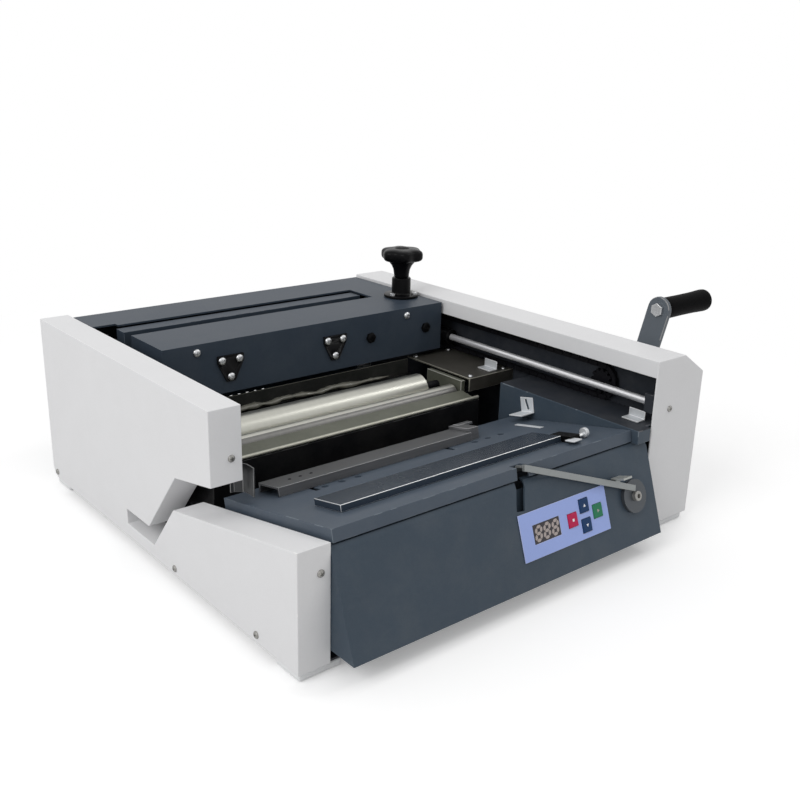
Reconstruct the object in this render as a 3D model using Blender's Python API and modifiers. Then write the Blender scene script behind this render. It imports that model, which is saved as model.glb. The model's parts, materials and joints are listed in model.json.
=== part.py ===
"""Desktop hot-glue binding machine, metres, +Z up.

Two white side housings carry a sliding clamp carriage over a glue tank with
two rollers. A crank in the right housing pulls the carriage forward by a
chain, to a sloping table where two nip bars press the cover on to the spine.

Places are measured from the left housing's outer face (x), the housings'
front plane (y) and the housings' lower edge (z). The empty "machine" moves
all of it so that the world's origin is the centre of the floor below it.
"""
import math

import bmesh
import bpy
from mathutils import Matrix, Vector

# Clearances and cuts
GAP = 0.0003            # between pieces that touch or are fitted
OVERRUN = 0.002         # how far a cutter passes the face it opens
SHEET = 0.002           # painted sheet steel of housings, covers and panel

# Housings
HOUSING_HEIGHT = 0.186
HOUSING_DEPTH = 0.502
LEFT_WIDTH = 0.032
INNER_WIDTH = 0.404     # clear width between the housings
RIGHT_WIDTH = 0.080
RIGHT_CHAMFER_WIDTH = 0.035
RIGHT_CHAMFER_HEIGHT = 0.023
RIGHT_FLANGE_HEIGHT = 0.018
REAR_CORNER_RADIUS = 0.016
PLATE_THICKNESS = 0.003
LEFT_PLATE_RECESS = 0.003    # left side plate behind the housing's rim
RIGHT_PLATE_RECESS = 0.0265  # right side plate behind the flange

# Outline of the left housing, with the cover channel that runs through it
BOX_TOP_FRONT = 0.110
BOX_TOP_REAR = 0.068
BOX_REAR_Y = 0.204
CHANNEL_FRONT_Y = 0.248
CHANNEL_END_Y = 0.306
CHANNEL_FLOOR = 0.0144
CHANNEL_ROOF = 0.0307
TOOTH_Y = 0.257
NOTCH_Y = 0.197
NOTCH_Z = 0.1025
OVERHANG_Y = 0.131
OVERHANG_Z = 0.116

X_LEFT = LEFT_WIDTH
X_RIGHT = LEFT_WIDTH + INNER_WIDTH
X_END = X_RIGHT + RIGHT_WIDTH
LEFT_PLATE_X1 = X_LEFT - LEFT_PLATE_RECESS
LEFT_PLATE_X0 = LEFT_PLATE_X1 - PLATE_THICKNESS
RIGHT_PLATE_X0 = X_RIGHT + RIGHT_PLATE_RECESS
RIGHT_PLATE_X1 = RIGHT_PLATE_X0 + PLATE_THICKNESS

# Feet, base pan, beams and rear cover
FOOT_WIDTH = 0.043
FOOT_LENGTH = 0.034
FOOT_HEIGHT = 0.009
FOOT_INSET = 0.003
FOOT_ROUND = 0.002
BEAM_DEPTH = 0.024
BEAM_HEIGHT = 0.030
BEAM_WALL = 0.002
FRONT_BEAM_Y = 0.030
REAR_BEAM_INSET = 0.042     # from the housings' rear
REAR_BEAM_Y = HOUSING_DEPTH - REAR_BEAM_INSET
REAR_COVER_HEIGHT = 0.118
REAR_COVER_LIP = 0.014
VENT_COUNT = 9
VENT_WIDTH = 0.004
VENT_HEIGHT = 0.030
VENT_PITCH = 0.012
VENT_Z = 0.022

# Front panel: t runs up its sloping face from the lower edge
PANEL_FOOT_Y = -0.031
PANEL_FOOT_Z = 0.012
PANEL_TOP_Y = -0.0011
PANEL_TOP_Z = 0.0991
PANEL_STRIP_Y = 0.0040
PANEL_STRIP_Z = 0.1043
PANEL_BACK_Y = 0.010
PANEL_RIGHT_GAP = 0.008
PANEL_X0 = X_LEFT + GAP
PANEL_X1 = X_RIGHT - PANEL_RIGHT_GAP

# Control field on the panel
LABEL_X = 0.2929
LABEL_T = 0.0471
LABEL_WIDTH = 0.1204
LABEL_HEIGHT = 0.0444
LABEL_THICKNESS = 0.0008
BUTTON_WIDTH = 0.0128
BUTTON_HEIGHT = 0.0135
BUTTON_PROUD = 0.0012
BUTTON_DEPTH = 0.0050
BUTTON_TRAVEL = 0.0012
BUTTON_STEM_RADIUS = 0.0018
BUTTON_STEM = 0.0025
BUTTON_ROUND = 0.0006
BUTTON_CENTRE_X = 0.3200
BUTTON_SIDE_STEP = 0.0180
BUTTON_RISE_STEP = 0.0097
DISPLAY_X = 0.2665
DISPLAY_WIDTH = 0.0352
DISPLAY_HEIGHT = 0.0176
DISPLAY_DEPTH = 0.0080
BOARD_WIDTH = 0.1120
BOARD_HEIGHT = 0.0400
BOARD_THICKNESS = 0.0016
BOARD_STANDOFF_RADIUS = 0.0025
SWITCH_WIDTH = 0.0060

# Cover table: s runs down its slope from the front edge, h stands off it
TABLE_FRONT_Y = 0.00485
TABLE_FRONT_Z = 0.1180
TABLE_REAR_Y = 0.1724
TABLE_REAR_Z = 0.0828
TABLE_SKIRT = 0.0118
TABLE_SIDE_GAP = 0.0036
FENDER_GAP = 0.0004
PEG_HOLE_RADIUS = 0.0036
PEG_HOLE_PITCH = 0.0190
PEG_HOLE_LEFT_X = 0.1100
PEG_HOLE_RIGHT_X = 0.2990
PEG_HOLE_COUNT = 3
PEG_HOLE_S = 0.1150
TABLE_POST_RADIUS = 0.006
TABLE_POST_INSET = 0.016

# Fender beside the table
FENDER_X = 0.4080
FENDER_FRONT_Y = -0.0045
FENDER_REAR_Y = 0.1910
FENDER_TOP = 0.1190
FENDER_FOOT = 0.0600

# Nip bars on the table
FRONT_BAR_X0 = 0.0670
FRONT_BAR_X1 = 0.3370
FRONT_BAR_S0 = 0.0300
FRONT_BAR_S1 = 0.0690
FRONT_BAR_HEIGHT = 0.0067
FRONT_BAR_TRAVEL = 0.0240
REAR_BAR_X0 = 0.0650
REAR_BAR_X1 = 0.3020
REAR_BAR_S0 = 0.1218
REAR_BAR_S1 = 0.1565
REAR_BAR_HEIGHT = 0.0090
REAR_BAR_TRAVEL = 0.0260
BAR_WALL = 0.0020
STUD_RADIUS = 0.0025
STUD_WASHER_RADIUS = 0.0060
STUD_WASHER_THICKNESS = 0.0020
STUD_END_INSET = 0.0350
ADJUSTER_LENGTH = 0.0235
ADJUSTER_RADIUS = 0.0022
ADJUSTER_CAP_RADIUS = 0.0050
ADJUSTER_CAP_LENGTH = 0.0040
ADJUSTER_BLOCK_WIDTH = 0.0140
ADJUSTER_BLOCK_S0 = 0.0180
ADJUSTER_BLOCK_S1 = 0.0450
ADJUSTER_SCREW_S = 0.0220
ADJUSTER_TAB_WIDTH = 0.0120
ADJUSTER_TAB_DEPTH = 0.0095
ADJUSTER_TAB_LEAD = 0.0060    # of the tab to the left of the block
ADJUSTER_TAB_RISE = 0.0030
CLAMP_WIDTH = 0.0140
CLAMP_HEIGHT = 0.0130
CLAMP_TAB_LENGTH = 0.0200
CLAMP_TAB_WIDTH = 0.0080

# Side stop and wear strip on the table
STOP_X = FENDER_X - GAP     # against the fender's wall
STOP_S0 = 0.1320
STOP_WIDTH = 0.0186
STOP_HEIGHT = 0.0246        # of its top above the table
STOP_RISE = 0.0070          # of its foot above the table
STOP_FOOT = 0.0210
STOP_SHEET = 0.0015
STOP_TRAVEL = 0.0340
STOP_SLOT_WIDTH = 0.0034
STOP_SLOT_LENGTH = 0.0120
STOP_SLOT_TILT = math.radians(-28)
STOP_SLOT_SHARE = 0.68
STRIP_X = 0.3800
STRIP_WIDTH = 0.0060
STRIP_S0 = 0.0960
STRIP_S1 = 0.1340

# Nip lever on the front panel
LEVER_X = 0.3930
LEVER_T = 0.0476
LEVER_DISC_RADIUS = 0.0170
LEVER_DISC_THICKNESS = 0.0040
LEVER_BAR_WIDTH = 0.0060
LEVER_BAR_THICKNESS = 0.0030
LEVER_LENGTH = 0.1560
LEVER_OFFSET = 0.0080       # the bar passes above its pivot
LEVER_REST = math.radians(156.5)
LEVER_SWING = math.radians(13)
LEVER_PIN_RADIUS = 0.0030
LEVER_PIN_LENGTH = 0.0100
LEVER_SLOT_WIDTH = 0.0105
LEVER_SHAFT_RADIUS = 0.0050
LEVER_SHAFT_LENGTH = 0.0160
LEVER_TAB_WIDTH = 0.0125
LEVER_TAB_DEPTH = 0.0160
LEVER_TAB_THICKNESS = 0.0020
LEVER_TAB_ALONG = 0.0260
LEVER_BOLT_RADIUS = 0.0065
LEVER_BOLT_HEIGHT = 0.0045
LEVER_CAM_RADIUS = 0.0140
LEVER_CAM_THICKNESS = 0.0040
LEVER_SEAT_SHARE = 0.75      # bar let into the disc
LEVER_SLOT_EARLY = math.radians(4)
LEVER_SLOT_LATE = math.radians(1.5)

# Guide rods and their blocks
ROD_Z = 0.1390
ROD_RADIUS = 0.0040
RIGHT_ROD_IN = 0.0080       # rod axis behind the housing's inner face
LEFT_ROD_X = 0.0140
ROD_BLOCK_DEPTH = 0.0120
ROD_BLOCK_HEIGHT = 0.0200
RIGHT_ROD_X = X_RIGHT + RIGHT_ROD_IN
REST_BRACKET_WIDTH = 0.0200
REST_BRACKET_FOOT = 0.0130
REST_BRACKET_SHEET = 0.0015
REST_BRACKET_FRONT_Y = 0.0120
REST_BRACKET_MIDDLE_Y = 0.2280

# Clamp carriage
CAR_REAR_INSET = 0.0050      # from the housings' rear when it is parked
CAR_DEPTH = 0.1750
CAR_REAR_Y = HOUSING_DEPTH - CAR_REAR_INSET
CAR_FRONT_Y = CAR_REAR_Y - CAR_DEPTH
CAR_LEFT_X = 0.0554
CAR_TAIL_X = 0.0360         # the rear part reaches further left
CAR_TAIL_DEPTH = 0.0570
CAR_TAIL_Y = CAR_REAR_Y - CAR_TAIL_DEPTH
CAR_RIGHT_GAP = 0.0040
CAR_BOTTOM = 0.1250
CAR_TOP = 0.1834
CAR_RIGHT_X = X_RIGHT - CAR_RIGHT_GAP
CAR_STOP_Y = 0.0320          # where its front face stops over the table
CAR_TRAVEL = CAR_FRONT_Y - CAR_STOP_Y
SLOT_SETBACK = 0.0700        # of the book slot behind the carriage's face
SLOT_DEPTH = 0.0470
SLOT_NOTCH_DEPTH = 0.0070
SLOT_FRONT_Y = CAR_FRONT_Y + SLOT_SETBACK
SLOT_REAR_Y = SLOT_FRONT_Y + SLOT_DEPTH
SLOT_RIGHT_X = 0.3780
SLOT_NOTCH_X = 0.0620
SLOT_NOTCH_Y = SLOT_REAR_Y + SLOT_NOTCH_DEPTH
FIXED_JAW_THICKNESS = 0.0110
JAW_GAP = 0.0225             # between the jaws as drawn
JAW_FRONT_Y = SLOT_FRONT_Y + JAW_GAP
JAW_THICKNESS = 0.0190
JAW_OPEN = 0.0170
JAW_CLOSE = 0.0215
JAW_ROD_RADIUS = 0.0030
JAW_ROD_INSET = 0.0036
JAW_ROD_Z = 0.1500
END_PLATE_THICKNESS = 0.0055
REAR_BAR_DEPTH = 0.0120
REAR_BAR_Z0 = 0.1360
REAR_BAR_Z1 = 0.1700
SLEEVE_RADIUS = 0.0092
SLEEVE_LENGTH = 0.0800
SLEEVE_LEAD = 0.0080        # the sleeve starts in front of the carriage
SLEEVE_PAD_SHARE = 0.8
LEFT_SLEEVE_INSET = 0.0510
LEFT_SLEEVE_Y0 = CAR_REAR_Y - LEFT_SLEEVE_INSET
LEFT_SLEEVE_LENGTH = 0.0340
LEFT_ARM_HEIGHT = 0.0100

# Clamp knob, its post, spindle and pinion
KNOB_X = 0.4105
KNOB_SETBACK = 0.0530
KNOB_Y = CAR_FRONT_Y + KNOB_SETBACK
KNOB_HEAD_RADIUS = 0.0270
KNOB_HEAD_HEIGHT = 0.0160
KNOB_LOBES = 6
KNOB_LOBE_DEPTH = 0.0040
KNOB_NECK_RADIUS = 0.0090
KNOB_NECK_SHARE = 0.52       # of the head's radius, at the neck's top
KNOB_ROUND_SHARE = 0.2       # of the head's height
KNOB_NECK_HEIGHT = 0.0200
POST_FLANGE_RADIUS = 0.0215
POST_FLANGE_THICKNESS = 0.0032
POST_RADIUS = 0.0118
POST_HEIGHT = 0.0210
POST_SCREW_RADIUS = 0.0034
POST_SCREW_ANGLE = math.radians(210)
POST_SCREW_COUNT = 3
SPINDLE_RADIUS = 0.0050
PINION_RADIUS = 0.0080
PINION_TEETH = 10
PINION_HEIGHT = 0.0100
PINION_Z = 0.1590
RACK_WIDTH = 0.0070
RACK_HEIGHT = 0.0080
RACK_LEAD = 0.0630

# Glue tank and rollers
TANK_X0 = 0.0440
TANK_X1 = 0.3900
TANK_Y0 = 0.2060
TANK_Y1 = 0.3340
TANK_Z0 = 0.0450
TANK_TOP = 0.0980
TANK_END_WALL = 0.0060
TANK_FRONT_WALL = 0.0080
TANK_REAR_WALL = 0.0120
TANK_FLOOR = 0.0170
MAIN_ROLLER_Y = 0.2725
MAIN_ROLLER_Z = 0.0995
MAIN_ROLLER_RADIUS = 0.0180
MAIN_ROLLER_X1 = 0.3560
FRONT_ROLLER_Y = 0.2420
FRONT_ROLLER_Z = 0.0970
FRONT_ROLLER_RADIUS = 0.0115
FRONT_ROLLER_X1 = 0.3800
ROLLER_END_GAP = 0.0015
ROLLER_SHAFT_RADIUS = 0.0050
ROLLER_STUB = 0.0030
GEAR_WIDTH = 0.0060
GEAR_STANDOFF = 0.0020
GEAR_TOOTH = 0.0022
GEAR_TEETH = 15
WIPER_REAR_Y = 0.2290
WIPER_RISE = 0.0037
LIP_RADIUS = 0.0020
SCRAPER_HEIGHT = 0.0200
HEATER_RADIUS = 0.0050
HEATER_LEAD = 0.0090
SENSOR_RADIUS = 0.0025
SENSOR_LENGTH = 0.0400
SENSOR_OFFSET = 0.0150       # in front of the heater
EAR_RISE = 0.0150            # above the main roller's axis
TANK_LEG_WIDTH = 0.0200
TANK_LEG_INSET = 0.0250
END_COVER_Y0 = 0.2230
END_COVER_Y1 = 0.3350
END_COVER_TOP = 0.1180
END_COVER_SKIRT = 0.0160
GUARD_REACH = 0.0130
GUARD_DEPTH = 0.0220
GUARD_HEIGHT = 0.0280
GUARD_Z = 0.0955
GUARD_SHEET = 0.0014

# Chain drive and crank
CHAIN_X0 = 0.4552
CHAIN_X1 = 0.4602
CHAIN_RADIUS = 0.0175       # of the chain's middle line round a sprocket
CHAIN_THICKNESS = 0.0060
CRANK_Y = 0.0856
CRANK_Z = 0.1400
IDLER_INSET = 0.0380         # from the housings' rear
IDLER_Y = HOUSING_DEPTH - IDLER_INSET
SPROCKET_TEETH = 12
SPROCKET_TOOTH = 0.0030
CRANK_SHAFT_RADIUS = 0.0060
CRANK_ARM_LENGTH = 0.0760
CRANK_ARM_WIDTH = 0.0280
CRANK_ARM_THICKNESS = 0.0050
CRANK_ARM_STANDOFF = 0.0050
CRANK_LEAN = math.radians(13)
GRIP_LENGTH = 0.0800
GRIP_RADIUS = 0.0125
GRIP_WAIST_RADIUS = 0.0116
GRIP_BOLT_RADIUS = 0.0040
GRIP_HEAD_RADIUS = 0.0075
GRIP_HEAD_HEIGHT = 0.0036
GRIP_BORE_SHARE = 0.7        # of the grip's length
GRIP_DOME_SHARE = 0.5        # of the grip's radius
GRIP_DOME_STEPS = 4
GRIP_SHOULDER_SHARES = (0.75, 0.40)
GRIP_WAIST_SHARE = 0.12
BUSH_FLANGE_RADIUS = 0.0120
BUSH_FLANGE_THICKNESS = 0.0030
BUSH_WALL = 0.0020
LUG_WIDTH = 0.0200
LUG_SHEET = 0.0020
LUG_SETBACK = 0.0280
LUG_Y = CAR_FRONT_Y + LUG_SETBACK

# Drive motor, boards and inlet in the right housing
MOTOR_BOX_WIDTH = 0.0220
MOTOR_BOX_SIZE = 0.0440
MOTOR_RADIUS = 0.0160
MOTOR_LENGTH = 0.0240
CONTROL_INSET = 0.0720       # from the housings' rear
CONTROL_LENGTH = 0.0900
CONTROL_HEIGHT = 0.0440
CONTROL_Y0 = HOUSING_DEPTH - CONTROL_INSET - CONTROL_LENGTH
CONTROL_Z = 0.0300
CONTROL_CHIP = 0.0064
CONTROL_CHIP_HEIGHT = 0.0190
CONTROL_CHIP_SHARES = (0.3, 0.6)
INLET_X = 0.4850
INLET_Z = 0.0380
INLET_WIDTH = 0.0280
INLET_HEIGHT = 0.0200
INLET_FLANGE = 0.0040
INLET_DEPTH = 0.0180
PIN_WIDTH = 0.0040
PIN_DEPTH = 0.0020
PIN_RECESS = 0.0090
PIN_PITCH = 0.0070
INLET_SINK = 0.0002
INLET_SEAT = 0.0043

# Fasteners
SCREW_HEAD_RADIUS = 0.0036
SCREW_HEAD_HEIGHT = 0.0018
SCREW_SHANK_RADIUS = 0.0017
SIDE_SCREW_Z = 0.0080
MIDDLE_SCREW_DROP = 0.0008
SIDE_SCREW_FRONT_SHARE = 0.123
SIDE_SCREW_MIDDLE_SHARE = 0.41
SIDE_SCREW_REAR_SHARE = 0.975
OVERHANG_SCREW_SHARE = 0.66
OVERHANG_SCREW_DROP = 0.0120
BOX_SCREW_SHARE = 0.69
BOX_SCREW_Z_SHARE = 0.78
FLANGE_SCREW_Z_SHARE = 0.705
CAR_SCREW_RADIUS = 0.0042
CAR_SCREW_HEIGHT = 0.0024
HEX_RADIUS = 0.0062
HEX_HEIGHT = 0.0032
PLATE_TRIANGLE_THICKNESS = 0.0020
PLATE_TRIANGLE_MARGIN = 0.0052
PLATE_BOLT_SPAN = 0.0210
PLATE_BOLT_DROP = 0.0185
PLATE_TOP_Z = 0.1615
PLATE_CENTRES_X = (0.1325, 0.2690)
CAR_SCREW_XS = (0.0940, 0.3760)
CAR_SCREW_Z = 0.1745
CAR_HEX_XS = (0.3210, 0.4060)
CAR_HEX_Z = 0.1555

GRIP_X0 = X_END + CRANK_ARM_STANDOFF + CRANK_ARM_THICKNESS + GAP
GRIP_X1 = GRIP_X0 + GRIP_LENGTH
CENTRE_X = (GRIP_X1 - SCREW_HEAD_HEIGHT + GAP) / 2
CENTRE_Y = (HOUSING_DEPTH + PANEL_FOOT_Y) / 2

PANEL_TILT = -math.atan2(PANEL_TOP_Y - PANEL_FOOT_Y, PANEL_TOP_Z - PANEL_FOOT_Z)
PANEL_UP = Vector((0, -math.sin(PANEL_TILT), math.cos(PANEL_TILT)))
PANEL_OUT = Vector((0, -math.cos(PANEL_TILT), -math.sin(PANEL_TILT)))
TABLE_TILT = -math.atan2(TABLE_FRONT_Z - TABLE_REAR_Z, TABLE_REAR_Y - TABLE_FRONT_Y)
TABLE_DOWN = Vector((0, math.cos(TABLE_TILT), math.sin(TABLE_TILT)))
TABLE_UP = Vector((0, -math.sin(TABLE_TILT), math.cos(TABLE_TILT)))
TABLE_LENGTH = math.hypot(TABLE_FRONT_Z - TABLE_REAR_Z, TABLE_REAR_Y - TABLE_FRONT_Y)
TABLE_X0 = X_LEFT + TABLE_SIDE_GAP
TABLE_X1 = FENDER_X - FENDER_GAP


# Scene, collections and materials

def clear_scene():
    for old in list(bpy.data.objects):
        bpy.data.objects.remove(old, do_unlink=True)


def make_collection(name):
    collection = bpy.data.collections.new(name)
    bpy.context.scene.collection.children.link(collection)
    return collection


clear_scene()
PARTS = make_collection("glue_binding_machine")
CUTTERS = make_collection("cutters")


def finish(name, colour, roughness, metallic=0.0):
    material = bpy.data.materials.new(name)
    material.use_nodes = True
    shader = material.node_tree.nodes["Principled BSDF"]
    shader.inputs["Base Color"].default_value = (*colour, 1.0)
    shader.inputs["Roughness"].default_value = roughness
    shader.inputs["Metallic"].default_value = metallic
    return material


WHITE_PAINT = ((0.72, 0.73, 0.74), 0.45, 0.0)
SLATE_PAINT = ((0.055, 0.070, 0.090), 0.50, 0.0)
DARK_STEEL = ((0.035, 0.040, 0.050), 0.45, 0.6)
BRIGHT_STEEL = ((0.62, 0.62, 0.61), 0.25, 1.0)
ZINC = ((0.55, 0.56, 0.57), 0.35, 1.0)
BLACK_PLASTIC = ((0.012, 0.012, 0.013), 0.40, 0.0)
BLACK_CASTING = ((0.020, 0.020, 0.022), 0.60, 0.2)
PALE_RUBBER = ((0.62, 0.62, 0.62), 0.60, 0.0)
LABEL_FILM = ((0.50, 0.56, 0.78), 0.40, 0.0)
CIRCUIT_BOARD = ((0.02, 0.12, 0.05), 0.50, 0.0)
STAINED_PLATE = ((0.42, 0.41, 0.37), 0.50, 0.3)
BUTTON_LOOKS = {
    "stop_button": ((0.60, 0.02, 0.05), 0.35, 0.0),
    "up_button": ((0.02, 0.09, 0.25), 0.35, 0.0),
    "down_button": ((0.02, 0.09, 0.25), 0.35, 0.0),
    "start_button": ((0.03, 0.30, 0.12), 0.35, 0.0),
}


# Empties that carry the pieces

def carrier(name, place, parent):
    """An empty; its place is kept so that pieces can be hung on it unmoved."""
    empty = bpy.data.objects.new(name, None)
    PARTS.objects.link(empty)
    empty["place"] = list(place)
    if parent is None:
        empty.location = place
    else:
        empty.parent = parent
        empty.location = Vector(place) - Vector(parent["inner"])
    empty["inner"] = [0.0, 0.0, 0.0] if parent is None else list(place)
    return empty


def hang(piece, empty):
    piece.parent = empty
    piece.matrix_parent_inverse = Matrix.Translation(-Vector(empty["inner"]))


MACHINE = carrier("machine", (-CENTRE_X, -CENTRE_Y, FOOT_HEIGHT), None)


# Basic shapes: each gives one object in machine coordinates

def object_from(name, mesh, location=(0, 0, 0), rotation=(0, 0, 0)):
    piece = bpy.data.objects.new(name, mesh)
    piece.location = location
    piece.rotation_euler = rotation
    PARTS.objects.link(piece)
    hang(piece, MACHINE)
    return piece


def mesh_from(shape, name):
    mesh = bpy.data.meshes.new(name)
    shape.to_mesh(mesh)
    shape.free()
    return mesh


def block(name, low, high, origin=(0, 0, 0), tilt=0.0):
    """A box between two corners, turned about X round origin by tilt."""
    low, high = Vector(low), Vector(high)
    size = high - low
    shape = bmesh.new()
    bmesh.ops.create_cube(shape, size=1.0)
    bmesh.ops.scale(shape, vec=size, verts=shape.verts)
    turn = Matrix.Rotation(tilt, 3, "X")
    centre = Vector(origin) + turn @ ((low + high) / 2)
    return object_from(name, mesh_from(shape, name), centre, (tilt, 0, 0))


def panel_block(name, low, high):
    """A box whose axes are x, t up the panel's face and n out of it."""
    foot = (0, PANEL_FOOT_Y, PANEL_FOOT_Z)
    flat_low = (low[0], -high[2], low[1])
    flat_high = (high[0], -low[2], high[1])
    return block(name, flat_low, flat_high, foot, PANEL_TILT)


def table_block(name, low, high):
    """A box whose axes are x, s down the table's slope and h off it."""
    return block(name, low, high, (0, TABLE_FRONT_Y, TABLE_FRONT_Z), TABLE_TILT)


def on_panel(x, t, out=0.0):
    foot = Vector((x, PANEL_FOOT_Y, PANEL_FOOT_Z))
    return foot + PANEL_UP * t + PANEL_OUT * out


def on_table(x, s, h=0.0):
    front = Vector((x, TABLE_FRONT_Y, TABLE_FRONT_Z))
    return front + TABLE_DOWN * s + TABLE_UP * h


def bar(name, start, end, radius, sides=16, end_radius=None):
    """A round bar, or a cone, from start to end."""
    start, end = Vector(start), Vector(end)
    along = end - start
    shape = bmesh.new()
    bmesh.ops.create_cone(
        shape, cap_ends=True, segments=sides, radius1=radius,
        radius2=radius if end_radius is None else end_radius, depth=along.length)
    turn = along.to_track_quat("Z", "Y").to_euler()
    piece = object_from(name, mesh_from(shape, name), (start + end) / 2, turn)
    if sides > 8:
        shade_round(piece)
    return piece


def shade_round(piece):
    piece.data.shade_smooth()
    piece.data.set_sharp_from_angle(angle=math.radians(35))


AXES = {
    "X": Matrix(((0, 0, 1), (1, 0, 0), (0, 1, 0))).to_4x4(),
    "Y": Matrix(((1, 0, 0), (0, 0, -1), (0, 1, 0))).to_4x4(),
    "Z": Matrix.Identity(4),
}


def outline(name, points, axis, low, high):
    """A flat outline extruded along an axis, as a 2D curve made a mesh.

    Points are (y, z) for axis X, (x, z) for Y and (x, y) for Z.
    """
    curve = bpy.data.curves.new(name, "CURVE")
    curve.dimensions = "2D"
    curve.fill_mode = "BOTH"
    curve.extrude = (high - low) / 2
    spline = curve.splines.new("POLY")
    spline.points.add(len(points) - 1)
    for spot, (u, v) in zip(spline.points, points):
        spot.co = (u, v, 0, 1)
    spline.use_cyclic_u = True
    drawn = bpy.data.objects.new(name, curve)
    PARTS.objects.link(drawn)
    bpy.context.view_layer.update()
    seen = drawn.evaluated_get(bpy.context.evaluated_depsgraph_get())
    mesh = bpy.data.meshes.new_from_object(seen)
    bpy.data.objects.remove(drawn, do_unlink=True)
    shape = bmesh.new()
    shape.from_mesh(mesh)
    bmesh.ops.remove_doubles(shape, verts=shape.verts, dist=0.00001)
    middle = (low + high) / 2
    if axis == "X":
        shift = Matrix.Translation((middle, 0, 0))
    elif axis == "Y":
        shift = Matrix.Translation((0, middle, 0))
    else:
        shift = Matrix.Translation((0, 0, middle))
    shape.transform(shift @ AXES[axis])
    bmesh.ops.recalc_face_normals(shape, faces=shape.faces)
    shape.to_mesh(mesh)
    shape.free()
    return object_from(name, mesh)


def turned(name, profile, place, axis="Z", steps=24):
    """A solid of revolution; profile is (radius, height) from top to bottom.

    A profile that starts off the axis is closed and gives a ring.
    """
    mesh = bpy.data.meshes.new(name)
    shape = bmesh.new()
    spots = [shape.verts.new((radius, 0, height)) for radius, height in profile]
    for first, second in zip(spots, spots[1:]):
        shape.edges.new((first, second))
    if profile[0][0] > 0:
        shape.edges.new((spots[-1], spots[0]))
    shape.to_mesh(mesh)
    shape.free()
    piece = object_from(name, mesh, place)
    if axis == "X":
        piece.rotation_euler = (0, math.pi / 2, 0)
    spin = piece.modifiers.new("turn", "SCREW")
    spin.steps = steps
    spin.render_steps = steps
    spin.use_merge_vertices = True
    spin.merge_threshold = 0.00001
    spin.use_normal_calculate = profile[0][0] == 0
    spin.use_smooth_shade = True
    return piece


# Working on pieces

def to_cutters(piece):
    PARTS.objects.unlink(piece)
    CUTTERS.objects.link(piece)
    piece.hide_render = True
    piece.display_type = "WIRE"


def combine(piece, others, operation):
    for other in others:
        if other.name not in CUTTERS.objects:
            to_cutters(other)
        step = piece.modifiers.new(other.name, "BOOLEAN")
        step.operation = operation
        step.solver = "EXACT"
        step.object = other
    return piece


def cut(piece, *cutters):
    return combine(piece, cutters, "DIFFERENCE")


def weld(piece, *others):
    return combine(piece, others, "UNION")


def bundle(name, pieces):
    """Several separate solids as one node; modifiers are applied first."""
    bpy.context.view_layer.update()
    depsgraph = bpy.context.evaluated_depsgraph_get()
    shape = bmesh.new()
    for piece in pieces:
        mesh = bpy.data.meshes.new_from_object(piece.evaluated_get(depsgraph))
        mesh.transform(piece.matrix_basis)
        shape.from_mesh(mesh)
        bpy.data.meshes.remove(mesh)
    for piece in pieces:
        bpy.data.objects.remove(piece, do_unlink=True)
    return object_from(name, mesh_from(shape, name))


def dress(piece, look, carrier_empty=None):
    colour, roughness, metallic = look
    piece.data.materials.clear()
    piece.data.materials.append(finish(piece.name, colour, roughness, metallic))
    if carrier_empty is not None:
        hang(piece, carrier_empty)
    return piece


def round_edges(piece, width, segments=2):
    bevel = piece.modifiers.new("edges", "BEVEL")
    bevel.width = width
    bevel.segments = segments
    bevel.limit_method = "ANGLE"
    return piece


def inset(points, distance):
    """A closed anticlockwise outline moved inwards by a distance."""
    count = len(points)
    lines = []
    for index in range(count):
        a, b = Vector(points[index]), Vector(points[(index + 1) % count])
        along = (b - a).normalized()
        inward = Vector((-along.y, along.x))
        lines.append((a + inward * distance, along))
    moved = []
    for index in range(count):
        p, d = lines[index - 1]
        q, e = lines[index]
        turn = d.x * e.y - d.y * e.x
        if abs(turn) < 1e-6:
            moved.append(tuple(q))
            continue
        reach = ((q - p).x * e.y - (q - p).y * e.x) / turn
        moved.append(tuple(p + d * reach))
    return moved


def arc(centre, radius, start, end, steps):
    """Points on an arc, both ends included; angles in radians."""
    spots = []
    for index in range(steps + 1):
        angle = start + (end - start) * index / steps
        spots.append((centre[0] + radius * math.cos(angle),
                      centre[1] + radius * math.sin(angle)))
    return spots


def gear_points(centre, outer, tooth, teeth):
    """Outline of a gear or sprocket with flat-topped teeth."""
    spots = []
    step = 2 * math.pi / teeth
    tip_share, root_share = 0.22, 0.28
    for index in range(teeth):
        angle = index * step
        for share, radius in ((-root_share, outer - tooth), (-tip_share, outer),
                              (tip_share, outer), (root_share, outer - tooth)):
            turn = angle + share * step
            spots.append((centre[0] + radius * math.cos(turn),
                          centre[1] + radius * math.sin(turn)))
    return spots


# Housings and frame

def left_outline():
    """Anticlockwise outline (y, z) of the left housing with its channel."""
    corner = (HOUSING_DEPTH - REAR_CORNER_RADIUS, REAR_CORNER_RADIUS)
    return [
        (0, 0),
        *arc(corner, REAR_CORNER_RADIUS, -math.pi / 2, 0, 5),
        (HOUSING_DEPTH, HOUSING_HEIGHT),
        (OVERHANG_Y, HOUSING_HEIGHT),
        (OVERHANG_Y, OVERHANG_Z),
        (NOTCH_Y, NOTCH_Z),
        (TOOTH_Y, CHANNEL_ROOF),
        (CHANNEL_END_Y, CHANNEL_ROOF),
        (CHANNEL_END_Y, CHANNEL_FLOOR),
        (CHANNEL_FRONT_Y, CHANNEL_FLOOR),
        (BOX_REAR_Y, BOX_TOP_REAR),
        (0, BOX_TOP_FRONT),
    ]


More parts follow.
